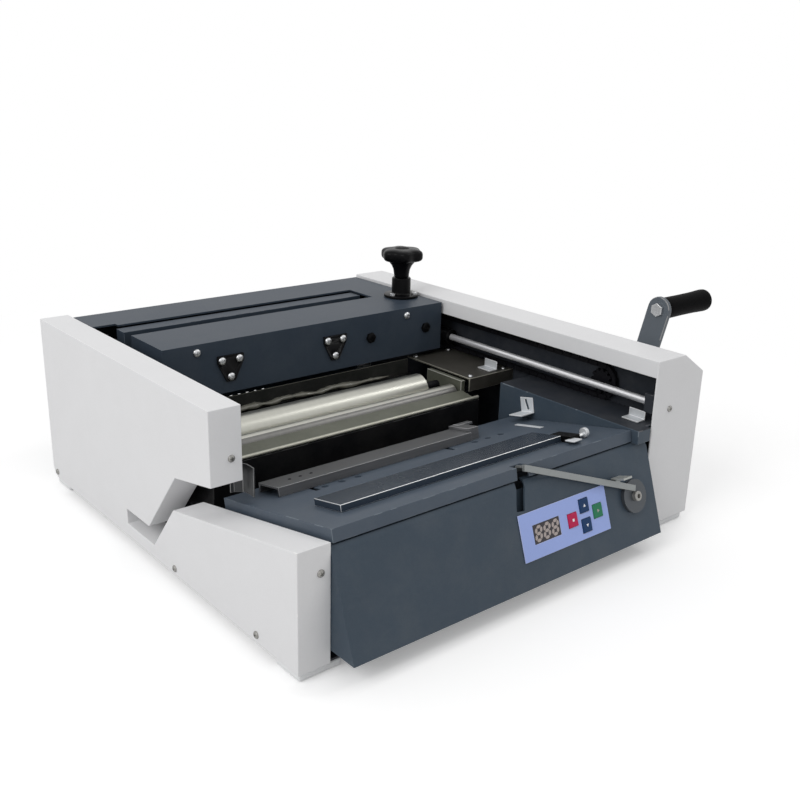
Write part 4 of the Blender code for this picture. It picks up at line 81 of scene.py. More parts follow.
# %% Places
PANEL_LEFT, PANEL_AHEAD, FEET_HEIGHT = 0.0323, 0.031, 0.009
panel_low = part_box("front_panel")[0]
ORIGIN = Vector((panel_low.x - PANEL_LEFT, panel_low.y + PANEL_AHEAD, FEET_HEIGHT))
PANEL_FOOT = Vector((0, -PANEL_AHEAD, 0.012))
PANEL_UP = Vector((0, 0.0299, 0.0871)).normalized()
PANEL_OUT = Vector((0, -PANEL_UP.z, PANEL_UP.y))
TABLE_FRONT = Vector((0, 0.00485, 0.118))
TABLE_BACK = Vector((0, 0.16755, -0.0352)).normalized()
TABLE_OUT = Vector((0, -TABLE_BACK.z, TABLE_BACK.y))
RIGHT = Vector((1, 0, 0))


def place(x, y, z):
    return ORIGIN + Vector((x, y, z))


def on_panel(x, t, out=0.0):
    return ORIGIN + PANEL_FOOT + RIGHT * x + PANEL_UP * t + PANEL_OUT * out


def on_table(x, s, up=0.0):
    return ORIGIN + TABLE_FRONT + RIGHT * x + TABLE_BACK * s + TABLE_OUT * up


def panel_matrix(x, t, out=0.0):
    lean = Matrix((RIGHT, PANEL_UP, PANEL_OUT)).transposed().to_4x4()
    return Matrix.Translation(on_panel(x, t, out)) @ lean


print("panel leans", round(math.degrees(math.atan2(PANEL_UP.y, PANEL_UP.z)), 1), "degrees")

# %% [markdown]
# ## Camera
# The machine is seen from its front left corner, a little from above. The camera's place,
# its direction and its lens come from the long straight edges of the two housings: where
# parallel edges seem to meet says how long the lens is and how the camera is turned.

# %% Camera
CAMERA_PLACE = place(-0.37578, -0.56325, 0.46788)
CAMERA_LOOK = Vector((0.60851, 0.72329, -0.32644))
CAMERA_ROLL = math.radians(1.5427)
CAMERA_LENS = 44.684

camera_data = bpy.data.cameras.new("camera")
camera_data.lens = CAMERA_LENS
camera_data.sensor_width = 36
camera_data.clip_start = 0.01
camera_data.clip_end = 50
camera = bpy.data.objects.new("camera", camera_data)
scene.collection.objects.link(camera)
turn = CAMERA_LOOK.to_track_quat("-Z", "Y").to_matrix().to_4x4()
roll = Matrix.Rotation(CAMERA_ROLL, 4, "Z")
camera.matrix_world = Matrix.Translation(CAMERA_PLACE) @ turn @ roll
scene.camera = camera
print("camera at", [round(c, 3) for c in camera.location])

# %% [markdown]
# ## Node helpers
# Materials and geometry trees are both made of nodes. One function adds a node and fills
# its sockets with values or links, one adds a step of arithmetic, and another starts a
# group with named inputs and outputs.

# %% Node helpers
def feed(tree, socket, value):
    if isinstance(value, bpy.types.NodeSocket):
        tree.links.new(value, socket)
    else:
        socket.default_value = value


def add(tree, kind, settings=None, **sockets):
    node = tree.nodes.new(kind)
    for name, value in (settings or {}).items():
        setattr(node, name, value)
    for name, value in sockets.items():
        label = name.replace("_", " ")
        feed(tree, next(s for s in node.inputs if s.name == label and s.enabled), value)
    return node


def sums(tree, operation, *values):
    node = tree.nodes.new("ShaderNodeMath")
    node.operation = operation
    for socket, value in zip(node.inputs, values):
        feed(tree, socket, value)
    return node.outputs[0]


def new_group(name, kind, inputs, outputs):
    tree = bpy.data.node_groups.new(name, kind)
    for label, socket_type, default in inputs:
        socket = tree.interface.new_socket(label, in_out="INPUT", socket_type=socket_type)
        if default is not None:
            socket.default_value = default
    for label, socket_type in outputs:
        tree.interface.new_socket(label, in_out="OUTPUT", socket_type=socket_type)
    start = tree.nodes.new("NodeGroupInput").outputs
    end = tree.nodes.new("NodeGroupOutput").inputs
    return tree, start, end


FLOAT, VECTOR, WHOLE = "NodeSocketFloat", "NodeSocketVector", "NodeSocketInt"
SHAPE, OBJECT, FINISH = "NodeSocketGeometry", "NodeSocketObject", "NodeSocketMaterial"
print("helpers: feed, add, sums, new_group")

# %% [markdown]
# ## Paint grain
# Powder coating isn't flat: it has the soft skin of an orange, a millimetre or two wide,
# and larger, fainter patches of tone. The group puts out a height for bump and a shade.

# %% Paint grain group
FINE_SHARE, BROAD_SHARE = 0.35, 0.65
paint_grain, start, end = new_group(
    "paint grain", "ShaderNodeTree",
    [("Vector", VECTOR, None), ("Scale", FLOAT, 600.0), ("Patches", FLOAT, 9.0)],
    [("Height", FLOAT), ("Shade", FLOAT)])
skin = add(paint_grain, "ShaderNodeTexNoise", Vector=start["Vector"], Scale=start["Scale"],
           Detail=2.0, Roughness=0.5)
patch = add(paint_grain, "ShaderNodeTexNoise", Vector=start["Vector"], Scale=start["Patches"],
            Detail=3.0, Roughness=0.6)
fine = sums(paint_grain, "MULTIPLY", skin.outputs[0], FINE_SHARE)
broad = sums(paint_grain, "MULTIPLY", patch.outputs[0], BROAD_SHARE)
paint_grain.links.new(skin.outputs[0], end["Height"])
paint_grain.links.new(sums(paint_grain, "ADD", fine, broad), end["Shade"])
print("group:", paint_grain.name)

# %% [markdown]
# ## Brushed lines
# Turned and brushed metal carries fine lines in one direction. Noise that is squeezed
# across the lines and stretched along them gives both their height and their shade.

# %% Brushed lines group
brushed_lines, start, end = new_group(
    "brushed lines", "ShaderNodeTree",
    [("Vector", VECTOR, None), ("Stretch", VECTOR, (20.0, 900.0, 900.0))],
    [("Height", FLOAT), ("Shade", FLOAT)])
squeezed = add(brushed_lines, "ShaderNodeVectorMath", {"operation": "MULTIPLY"})
brushed_lines.links.new(start["Vector"], squeezed.inputs[0])
brushed_lines.links.new(start["Stretch"], squeezed.inputs[1])
lines = add(brushed_lines, "ShaderNodeTexNoise", Vector=squeezed.outputs[0], Scale=1.0,
            Detail=2.0, Roughness=0.6)
haze = add(brushed_lines, "ShaderNodeTexNoise", Vector=start["Vector"], Scale=14.0, Detail=2.0)
half_lines = sums(brushed_lines, "MULTIPLY", lines.outputs[0], 0.5)
half_haze = sums(brushed_lines, "MULTIPLY", haze.outputs[0], 0.5)
brushed_lines.links.new(lines.outputs[0], end["Height"])
brushed_lines.links.new(sums(brushed_lines, "ADD", half_lines, half_haze), end["Shade"])
print("group:", brushed_lines.name)

# %% [markdown]
# ## Edge wear and dust
# Paint thins on sharp edges and dust settles in patches. Rounded edges get a face
# attribute when they are made, so wear knows where they are without any baking.

# %% Edge wear and dust groups
edge_wear, start, end = new_group(
    "edge wear", "ShaderNodeTree",
    [("Vector", VECTOR, None), ("Edge", FLOAT, 0.0), ("Amount", FLOAT, 0.5)],
    [("Mask", FLOAT)])
chips = add(edge_wear, "ShaderNodeTexNoise", Vector=start["Vector"], Scale=55.0, Detail=4.0)
spread = sums(edge_wear, "SUBTRACT", 1.0, start["Amount"])
open_chips = sums(edge_wear, "GREATER_THAN", chips.outputs[0], spread)
edge_wear.links.new(sums(edge_wear, "MULTIPLY", start["Edge"], open_chips), end["Mask"])

dust_film, start, end = new_group(
    "dust film", "ShaderNodeTree",
    [("Vector", VECTOR, None), ("Amount", FLOAT, 0.2)], [("Mask", FLOAT)])
clouds = add(dust_film, "ShaderNodeTexNoise", Vector=start["Vector"], Scale=26.0, Detail=6.0,
             Roughness=0.7)
lifted = add(dust_film, "ShaderNodeMapRange", Value=clouds.outputs[0], From_Min=0.42,
             From_Max=0.78)
dust_film.links.new(sums(dust_film, "MULTIPLY", lifted.outputs[0], start["Amount"]), end["Mask"])
print("groups:", edge_wear.name, "and", dust_film.name)

# %% [markdown]
# ## One recipe for every finish
# Paint, plastic and metal differ in their numbers more than in their nodes. The recipe
# mixes two tones of the colour by the shade, lets worn edges and dust through, and drives
# roughness and bump from the same patterns. Numbers that are the same all over go straight
# onto the shader's sockets.

# %% The recipe
DUST_COLOUR = (0.42, 0.41, 0.38, 1.0)
ROUGH_SPREAD, DUST_ROUGH, COAT_ROUGH = 0.16, 0.4, 0.12


def tone(colour, factor):
    return tuple(min(c * factor, 1.0) for c in colour) + (1.0,)


def use_group(tree, group, **sockets):
    return add(tree, "ShaderNodeGroup", {"node_tree": group}, **sockets).outputs


def blend(tree, factor, first, second):
    return add(tree, "ShaderNodeMix", {"data_type": "RGBA"}, Factor=factor, A=first,
               B=second).outputs["Result"]


def finish(name, colour, rough, metal=0.0, mottle=0.05, grain=600.0, height=0.00004,
           stretch=None, worn=None, wear=0.0, dust=0.0, coat=0.0, gloss=0.5):
    material = bpy.data.materials.new(name)
    material.use_nodes = True
    tree = material.node_tree
    shader = tree.nodes["Principled BSDF"]
    where = add(tree, "ShaderNodeTexCoord").outputs["Object"]
    if stretch:
        pattern = use_group(tree, brushed_lines, Vector=where, Stretch=stretch)
    else:
        pattern = use_group(tree, paint_grain, Vector=where, Scale=grain)
    shade = add(tree, "ShaderNodeMapRange", Value=pattern["Shade"], From_Min=0.3, From_Max=0.7)
    mixed = blend(tree, shade.outputs[0], tone(colour, 1 - mottle), tone(colour, 1 + mottle))
    roughness = sums(tree, "MULTIPLY_ADD", pattern["Shade"], ROUGH_SPREAD,
                     rough - ROUGH_SPREAD / 2)
    if worn:
        edge = add(tree, "ShaderNodeAttribute", {"attribute_name": "edge"}).outputs["Fac"]
        mask = use_group(tree, edge_wear, Vector=where, Edge=edge, Amount=wear)["Mask"]
        mixed = blend(tree, mask, mixed, tone(worn, 1))
    if dust:
        film = use_group(tree, dust_film, Vector=where, Amount=dust)["Mask"]
        mixed = blend(tree, film, mixed, DUST_COLOUR)
        roughness = sums(tree, "MULTIPLY_ADD", film, DUST_ROUGH, roughness)
    bump = add(tree, "ShaderNodeBump", Strength=1.0, Distance=height, Height=pattern["Height"])
    tree.links.new(mixed, shader.inputs["Base Color"])
    tree.links.new(roughness, shader.inputs["Roughness"])
    tree.links.new(bump.outputs[0], shader.inputs["Normal"])
    shader.inputs["Metallic"].default_value = metal
    shader.inputs["Specular IOR Level"].default_value = gloss
    shader.inputs["Coat Weight"].default_value = coat
    shader.inputs["Coat Roughness"].default_value = COAT_ROUGH
    return material


print("roughness varies by", ROUGH_SPREAD, "and dust adds up to", DUST_ROUGH)

# %% [markdown]
# ## Paints
# The outside is powder coated in white and slate. The slate comes in three tones of one paint:
# the table's is lighter, as painted light on its sloped top, and the carriage's darker, as
# painted shade. The parts inside are painted darker and rubbed more, and the same dark paint
# is painted shade on the fender's top flange. The tank wears a black enamel that stands the
# heat. The gloss of all of them is low, because whatever shines here reflects a white room
# and would look paler.

# %% Paints
white_paint = finish("white powder coat", (0.80, 0.80, 0.81), 0.46, mottle=0.015, grain=520,
                     height=0.00006, worn=(0.86, 0.86, 0.86), wear=0.3, dust=0.04, gloss=0.2)
slate_paint = finish("slate powder coat", (0.049, 0.069, 0.093), 0.44, mottle=0.07, grain=620,
                     height=0.00007, worn=(0.15, 0.18, 0.21), wear=0.44, dust=0.05, gloss=0.22)
# Painted light: a lighter tone of the slate for the table's top, for the light and sheen it
# catches.
lit_table_paint = finish("slate table paint lightened as painted light", (0.070, 0.091, 0.120), 0.42, mottle=0.07, grain=620,
                     height=0.00007, worn=(0.15, 0.18, 0.21), wear=0.44, dust=0.05, gloss=0.24)
# Painted shade: a darker tone of the slate for the carriage and its moving jaw, which stand in
# shade.
shaded_carriage_paint = finish("slate carriage paint darkened as painted shade", (0.037, 0.051, 0.071), 0.42, mottle=0.09,
                        grain=620, height=0.00007, worn=(0.12, 0.14, 0.17), wear=0.5, dust=0.03,
                        gloss=0.16)
# This dark paint is also the painted shade on the fender's top flange.
inner_paint_and_shade = finish("dark inner paint and painted shade", (0.024, 0.028, 0.036), 0.5, mottle=0.1, height=0.00006,
                     worn=(0.10, 0.10, 0.11), wear=0.5, dust=0.06, gloss=0.2)
tank_enamel = finish("black tank enamel", (0.007, 0.007, 0.008), 0.38, mottle=0.2, grain=380,
                     height=0.00009, worn=(0.05, 0.05, 0.05), wear=0.5, dust=0.03, gloss=0.15)
arm_paint = finish("grey arm paint", (0.100, 0.116, 0.134), 0.4, mottle=0.04, grain=700,
                   worn=(0.3, 0.3, 0.3), wear=0.5, gloss=0.3)
print("paints:", len(bpy.data.materials))

# %% [markdown]
# ## Metals
# Rods, screws and angles are plated or polished steel, the rollers are turned aluminium and
# the plates round the tank are stained by glue. Brushed ones take the brushed lines, the
# others the paint grain at a scale of their own; a part that looks dull is only half metal.

# %% Metals
polished_steel = finish("polished rod steel", (0.80, 0.80, 0.82), 0.33, 0.65, mottle=0.05,
                        stretch=(900, 60, 900), height=0.000006)
zinc_steel = finish("zinc-plated steel", (0.62, 0.63, 0.64), 0.36, 1.0, mottle=0.08, grain=420,
                    height=0.00002, worn=(0.9, 0.9, 0.9), wear=0.7)
screw_steel = finish("dull screw steel", (0.30, 0.295, 0.28), 0.40, 0.7, mottle=0.12, grain=420,
                     height=0.00002)
pale_zinc = finish("pale zinc angle", (0.60, 0.62, 0.64), 0.42, 0.35, mottle=0.10, grain=420,
                   height=0.00002, worn=(0.85, 0.85, 0.86), wear=0.8)
roller_metal = finish("turned aluminium", (0.45, 0.448, 0.405), 0.36, 1.0, mottle=0.05,
                      stretch=(160, 12, 12), height=0.000001)
# Painted shade: the front roller's front half takes this darker tone, below its lit top.
shaded_roller = finish("roller front in painted shade", (0.16, 0.158, 0.152), 0.36, 0.9, mottle=0.10,
                     stretch=(160, 12, 12), height=0.000001)
bar_metal = finish("satin bar steel", (0.150, 0.152, 0.158), 0.40, 0.7, mottle=0.12,
                   stretch=(14, 500, 500), height=0.00002, worn=(0.60, 0.60, 0.61), wear=0.8)
# Painted reflection: the polished bar's dark blue-grey tone stands in for the dark surroundings it
# reflects.
dark_reflection_bar = finish("polished bar with painted dark reflection", (0.031, 0.045, 0.066), 0.26, 0.3, mottle=0.12,
                  grain=14, height=0.0000001, gloss=0.4)
lip_metal = finish("scraped lip", (0.40, 0.40, 0.345), 0.42, 0.7, mottle=0.12, grain=160,
                   height=0.00001)
# Painted highlight: bright rims along the front nip bar's front and left edges.
rim_highlight = finish("painted rim highlight", (0.78, 0.79, 0.80), 0.34, 0.9, mottle=0.06,
                     stretch=(40, 600, 600), height=0.000006)
plate_metal = finish("glue-stained plate", (0.114, 0.119, 0.092), 0.46, 0.35, mottle=0.18,
                     grain=240, height=0.00006, worn=(0.50, 0.50, 0.46), wear=0.95, dust=0.12)
scraper_metal = finish("stained scraper", (0.014, 0.015, 0.014), 0.46, 0.15, mottle=0.22,
                       grain=240, height=0.00008, worn=(0.2, 0.2, 0.17), wear=0.7, dust=0.07,
                       gloss=0.3)
cover_metal = finish("browned end plate", (0.070, 0.066, 0.056), 0.42, 0.5, mottle=0.14,
                     grain=300, height=0.00005, worn=(0.40, 0.39, 0.33), wear=0.95, dust=0.12)
lever_metal = finish("lever steel", (0.255, 0.27, 0.27), 0.40, 0.7, mottle=0.08,
                     stretch=(160, 160, 700), height=0.00002, worn=(0.55, 0.55, 0.53), wear=0.8)
lever_tab_metal = finish("lever tab steel", (0.40, 0.41, 0.39), 0.42, 0.5, mottle=0.08,
                         stretch=(160, 160, 700), height=0.00002)
disc_metal = finish("spun disc", (0.070, 0.078, 0.088), 0.36, 0.45, mottle=0.1, grain=900,
                    height=0.00002, worn=(0.26, 0.26, 0.26), wear=0.9)
guard_metal = finish("stained guard", (0.060, 0.062, 0.064), 0.42, 0.5, mottle=0.14, grain=380,
                     height=0.00003, worn=(0.3, 0.3, 0.3), wear=0.8)
# Partly the dark of oiled steel, partly painted shade: chain, sprockets and roller gears are made
# nearly black and not metal, so that they sink into the shade of the recess like the wall behind
# them.
chain_steel_and_shade = finish("oiled chain steel darkened as painted shade", (0.007, 0.007, 0.009), 0.44, 0.0, mottle=0.25,
                     grain=800, height=0.00003, gloss=0.12)
jaw_steel = finish("blackened jaw steel", (0.022, 0.023, 0.026), 0.40, 0.5, mottle=0.15,
                   stretch=(18, 500, 500), height=0.00002, worn=(0.2, 0.2, 0.21), wear=0.8,
                   gloss=0.3)
bronze = finish("bush bronze", (0.45, 0.28, 0.12), 0.35, 1.0, mottle=0.1)
bright_zinc = finish("bright zinc", (0.66, 0.69, 0.72), 0.44, 0.1, mottle=0.08, grain=420,
                     height=0.00002, worn=(0.9, 0.9, 0.9), wear=0.7)
print("metals:", len(bpy.data.materials))

# %% [markdown]
# ## Plastics, rubber and glue
# Knob, grip and buttons are moulded, with a fine skin and little shine. The label is a
# printed film, the display a dark window, and the set glue has a wet-looking coat.

# %% Plastics, rubber and glue
black_plastic = finish("black moulded plastic", (0.0035, 0.0035, 0.0040), 0.30, mottle=0.15,
                       grain=500, height=0.00003, worn=(0.012, 0.012, 0.012), wear=0.6,
                       gloss=0.08)
grip_plastic = finish("grip plastic", (0.0020, 0.0020, 0.0022), 0.5, mottle=0.2, grain=900,
                      height=0.00012, gloss=0.025)
pale_rubber = finish("pale foot rubber", (0.84, 0.85, 0.86), 0.5, mottle=0.04, grain=400,
                     height=0.00008, dust=0.03)
label_film = finish("label film", (0.33, 0.43, 0.82), 0.36, mottle=0.05, grain=900,
                    height=0.00001, worn=(0.6, 0.62, 0.8), wear=0.8)
window_plastic = finish("display window", (0.040, 0.036, 0.042), 0.18, mottle=0.1, height=0.0,
                        gloss=0.3)
digit_light = finish("display digits", (0.42, 0.36, 0.34), 0.4, mottle=0.05)
mark_white = finish("printed mark", (0.85, 0.86, 0.90), 0.5, mottle=0.03)
red_plastic = finish("red button", (0.50, 0.014, 0.080), 0.34, mottle=0.06, gloss=0.2)
blue_plastic = finish("blue button", (0.010, 0.042, 0.125), 0.34, mottle=0.08, gloss=0.15)
green_plastic = finish("green button", (0.022, 0.19, 0.092), 0.34, mottle=0.08, gloss=0.2)
board_green = finish("circuit board", (0.012, 0.11, 0.05), 0.4, mottle=0.3, grain=300,
                     worn=(0.5, 0.45, 0.3), wear=0.5)
glue_skin = finish("set glue", (0.16, 0.158, 0.132), 0.34, mottle=0.16, grain=150,
                   height=0.0004, coat=0.3)
print("finishes in all:", len(bpy.data.materials))

# %% [markdown]
# ## Rounding a CAD solid
# Folded and painted sheet metal never has a knife edge: a millimetre of rounding catches
# the light along every fold. A copy of the node's mesh is merged, its flat triangles are
# joined, and its long sharp edges are bevelled. The new faces get the attribute that the
# wear reads. Where a rounding would tear the mesh or swell it, a narrower one is tried.

# %% Rounding
SHARP, FLAT = math.radians(28), math.radians(0.5)
MERGE, GROWTH = 0.00001, 0.0002
LONG_EDGE_SHARE, NARROWER_SHARE = 6, 0.7


def merged_copy(node):
    solid = bmesh.new()
    solid.from_mesh(frame["nodes"][node].data)
    bmesh.ops.remove_doubles(solid, verts=solid.verts, dist=MERGE)
    bmesh.ops.dissolve_limit(solid, angle_limit=FLAT, verts=solid.verts, edges=solid.edges,
                             use_dissolve_boundaries=False)
    return solid


def spans(solid):
    cos = [v.co for v in solid.verts]
    return [max(c[i] for c in cos) - min(c[i] for c in cos) for i in range(3)]


def closed(solid):
    return all(edge.is_manifold for edge in solid.edges)


def rounded(solid, width, segments=2, tries=3):
    before = spans(solid)
    trial = solid.copy()
    mark = trial.faces.layers.float.new("edge")
    edges = [e for e in trial.edges if e.is_manifold
             and e.calc_face_angle(0) > SHARP and e.calc_length() > width * LONG_EDGE_SHARE]
    made = bmesh.ops.bevel(trial, geom=edges, offset=width, offset_type="OFFSET",
                           segments=segments, profile=0.5, affect="EDGES", clamp_overlap=True)
    for face in made["faces"]:
        face[mark] = 1.0
    grew = max(abs(a - b) for a, b in zip(before, spans(trial)))
    if closed(trial) and grew < GROWTH:
        solid.free()
        return trial
    trial.free()
    if tries > 1:
        return rounded(solid, width * NARROWER_SHARE, segments, tries - 1)
    solid.faces.layers.float.new("edge")
    return solid


print("edges over", round(math.degrees(SHARP)), "degrees are rounded")

# %% [markdown]
# ## Showing a piece
# A bmesh becomes a mesh object with its finish, or with more than one where a test on a
# face's place says so. Weighted normals keep the flats flat beside the rounding. The piece
# rides on its node's body and, where it is the whole node, replaces it.

# %% Showing a piece
SMOOTH = math.radians(52)


def show(name, solid, node, material, zones=(), weighted=True):
    """A finished piece that rides on the node's body."""
    mesh = bpy.data.meshes.new(name)
    mesh.materials.append(material)
    for index, (test, other) in enumerate(zones, 1):
        mesh.materials.append(other)
        for face in solid.faces:
            if test(face.calc_center_median() - ORIGIN):
                face.material_index = index
    solid.to_mesh(mesh)
    solid.free()
    mesh.shade_smooth()
    mesh.set_sharp_from_angle(angle=SMOOTH)
    piece = bpy.data.objects.new(name, mesh)
    scene.collection.objects.link(piece)
    if weighted:
        modifier = piece.modifiers.new("normals", "WEIGHTED_NORMAL")
        modifier.keep_sharp = True
        graph = bpy.context.evaluated_depsgraph_get()
        piece.data = bpy.data.meshes.new_from_object(piece.evaluated_get(graph))
        piece.modifiers.clear()
    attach(piece, body_of_node[node])
    return piece


def stand_in(name, solid, node, material, zones=()):
    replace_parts(show(name, solid, node, material, zones), node)


print("shading breaks over", round(math.degrees(SMOOTH)), "degrees")

# %% [markdown]
# ## Turned and raised shapes
# Two ways of making a solid serve all small parts: a profile that is turned about an axis,
# as on a lathe, and an outline that is raised, as if cut from plate.

# %% Turned and raised shapes
def turned(profile, sides, start=Vector((0, 0, 0)), axis=Vector((0, 0, 1)), solid=None):
    """A surface of revolution; the profile gives distance along the axis and radius."""
    solid = solid or bmesh.new()
    spin = Vector((0, 0, 1)).rotation_difference(axis)
    rings = []
    for along, radius in profile:
        count = sides if radius else 1
        rings.append([solid.verts.new(start + spin @ Vector((
            radius * math.cos(math.tau * i / sides), radius * math.sin(math.tau * i / sides),
            along))) for i in range(count)])
    for low, high in zip(rings, rings[1:]):
        for i in range(sides):
            j = (i + 1) % sides
            corners = [low[i % len(low)], low[j % len(low)], high[j % len(high)],
                       high[i % len(high)]]
            solid.faces.new(list(dict.fromkeys(corners)))
    bmesh.ops.recalc_face_normals(solid, faces=solid.faces)
    return solid


def prism(points, bottom, top, solid=None):
    """An outline in x and y, raised from bottom to top."""
    solid = solid or bmesh.new()
    low = [solid.verts.new((x, y, bottom)) for x, y in points]
    high = [solid.verts.new((x, y, top)) for x, y in points]
    solid.faces.new(low[::-1])
    solid.faces.new(high)
    for i in range(len(points)):
        j = (i + 1) % len(points)
        solid.faces.new((low[i], low[j], high[j], high[i]))
    bmesh.ops.recalc_face_normals(solid, faces=solid.faces)
    return solid


def square(half):
    return [(-half, -half), (half, -half), (half, half), (-half, half)]


# %% [markdown]
# ## Screw heads that are modelled, not painted
# In the CAD each screw is a short plain head on its part. Here the plain heads are pressed
# flat, and real ones are set in their place by geometry nodes: a pan head with a crossed
# recess, a hexagon bolt and a socket cap screw, each modelled once at unit size.

# %% Fastener heads
HEAD_SMOOTH = math.radians(40)


def cross_outline(arm, half):
    return [(half, -arm), (half, -half), (arm, -half), (arm, half), (half, half), (half, arm),
            (-half, arm), (-half, half), (-arm, half), (-arm, -half), (-half, -half),
            (-half, -arm)]


def regular(sides, radius):
    return [(radius * math.cos(math.tau * i / sides), radius * math.sin(math.tau * i / sides))
            for i in range(sides)]


def head_object(name, solid, recess=None):
    """A head at unit radius, kept out of the scene, with its recess cut by a boolean."""
    objects = []
    for label, shape in ((name, solid), (name + "_recess", recess)):
        if shape:
            mesh = bpy.data.meshes.new(label)
            shape.to_mesh(mesh)
            shape.free()
            objects.append(bpy.data.objects.new(label, mesh))
            scene.collection.objects.link(objects[-1])
    head = objects[0]
    if recess:
        modifier = head.modifiers.new("recess", "BOOLEAN")
        modifier.object = objects[1]
        modifier.solver = "EXACT"
        graph = bpy.context.evaluated_depsgraph_get()
        head.data = bpy.data.meshes.new_from_object(head.evaluated_get(graph))
        head.modifiers.clear()
        bpy.data.objects.remove(objects[1])
    head.data.shade_smooth()
    head.data.set_sharp_from_angle(angle=HEAD_SMOOTH)
    return head


HEAD_SIDES = 24
PAN_PROFILE = [(-0.15, 0), (-0.15, 1.0), (0.18, 1.0), (0.36, 0.9), (0.50, 0.66), (0.57, 0.34),
               (0.58, 0)]
pan_head = head_object("pan_head", turned(PAN_PROFILE, HEAD_SIDES),
                       prism(cross_outline(0.5, 0.11), 0.24, 0.9))
BOLT_PROFILE = [(-0.15, 0), (-0.15, 1.0), (0.46, 1.0), (0.56, 0.84), (0.56, 0)]
hex_head = head_object("hex_head", turned(BOLT_PROFILE, 6))
CAP_PROFILE = [(-0.15, 0), (-0.15, 1.0), (0.78, 1.0), (0.88, 0.9), (0.88, 0)]
cap_head = head_object("cap_head", turned(CAP_PROFILE, HEAD_SIDES),
                       prism(regular(6, 0.5), 0.35, 1.2))
heads = [pan_head, hex_head, cap_head]
print("head faces:", [len(head.data.polygons) for head in heads])

# %% [markdown]
# ## The tree that sets the screws
# Each screw's place is one vertex, with the direction out of the sheet and a size. The tree
# stands a head on every vertex, turns it to that direction and gives its slot a random but
# repeatable angle, because nobody lines the slots up. Every tree here ends alike: the
# copies are made real and get their finish.

# %% Screw tree
def end_tree(tree, shape, material, socket):
    real = add(tree, "GeometryNodeRealizeInstances", Geometry=shape)
    painted = add(tree, "GeometryNodeSetMaterial", Geometry=real.outputs[0], Material=material)
    tree.links.new(painted.outputs[0], socket)
    print(tree.name, "has", len(tree.nodes), "nodes")


screw_tree, start, end = new_group(
    "set screws", "GeometryNodeTree",
    [("Places", SHAPE, None), ("Head", OBJECT, None), ("Size factor", FLOAT, 1.0),
     ("Seed", WHOLE, 3), ("Finish", FINISH, None)], [("Screws", SHAPE)])
out_of_sheet = add(screw_tree, "GeometryNodeInputNamedAttribute", {"data_type": "FLOAT_VECTOR"},
                   Name="out").outputs["Attribute"]
sizes = add(screw_tree, "GeometryNodeInputNamedAttribute", {"data_type": "FLOAT"},
            Name="size").outputs["Attribute"]
upright = add(screw_tree, "FunctionNodeAlignRotationToVector", {"axis": "Z"},
              Vector=out_of_sheet).outputs[0]
angle = add(screw_tree, "FunctionNodeRandomValue", {"data_type": "FLOAT"}, Min=0.0,
            Max=math.tau, Seed=start["Seed"])
spin = add(screw_tree, "FunctionNodeAxisAngleToRotation", Axis=(0.0, 0.0, 1.0),
           Angle=next(s for s in angle.outputs if s.enabled)).outputs[0]
turned_heads = add(screw_tree, "FunctionNodeRotateRotation", {"rotation_space": "LOCAL"},
                   Rotation=upright, Rotate_By=spin).outputs[0]
head_shape = add(screw_tree, "GeometryNodeObjectInfo", Object=start["Head"]).outputs["Geometry"]
stood = add(screw_tree, "GeometryNodeInstanceOnPoints", Points=start["Places"],
            Instance=head_shape, Rotation=turned_heads,
            Scale=sums(screw_tree, "MULTIPLY", sizes, start["Size factor"]))
end_tree(screw_tree, stood.outputs[0], start["Finish"], end["Screws"])

# %% [markdown]
# ## Running a geometry tree
# A modifier runs a tree on a starting mesh. Its inputs are set by their identifiers before
# the first evaluation, and the result is kept as a plain mesh, because the export drops
# instances and live modifiers.

# %% Running a geometry tree
PROUD, LEFT_PROUD = 0.0002, 0.0001


def grown(name, mesh, tree, node, **inputs):
    """Runs a tree on a starting mesh and keeps the result as a plain piece."""
    source = bpy.data.objects.new(name + "_source", mesh)
    scene.collection.objects.link(source)
    modifier = source.modifiers.new("tree", "NODES")
    modifier.node_group = tree
    names = {item.name: item.identifier for item in tree.interface.items_tree
             if item.in_out == "INPUT"}
    for label, value in inputs.items():
        modifier[names[label.replace("_", " ")]] = value
    graph = bpy.context.evaluated_depsgraph_get()
    result = bpy.data.meshes.new_from_object(source.evaluated_get(graph))
    bpy.data.objects.remove(source)
    piece = bpy.data.objects.new(name, result)
    scene.collection.objects.link(piece)
    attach(piece, body_of_node[node])
    print(name, len(result.polygons), "faces")
    return piece


def screws(name, places, head, node, material, seed=3):
    """Places are (point, direction out, head radius)."""
    mesh = bpy.data.meshes.new(name + "_places")
    mesh.from_pydata([tuple(p) for p, out, radius in places], [], [])
    mesh.attributes.new("out", "FLOAT_VECTOR", "POINT")
    mesh.attributes.new("size", "FLOAT", "POINT")
    for i, (point, out, radius) in enumerate(places):
        mesh.attributes["out"].data[i].vector = out
        mesh.attributes["size"].data[i].value = radius
    return grown(name, mesh, screw_tree, node, Head=head, Seed=seed, Finish=material)


def press_flat(solid, places, reach):
    """Presses the plain CAD heads flat, so that the modelled ones stand alone."""
    for point, out, radius in places:
        out = Vector(out)
        for vertex in solid.verts:
            offset = vertex.co - point
            high = offset.dot(out)
            if high > PROUD and (offset - out * high).length < reach:
                vertex.co -= out * (high - LEFT_PROUD)


print("heads over", PROUD * 1000, "mm are pressed flat")

# %% [markdown]
# ## Housings
# Two folded steel shells in white powder coat carry everything. The left one has the long
# sloping channel for wide covers, the right one the chamfer and the crank.

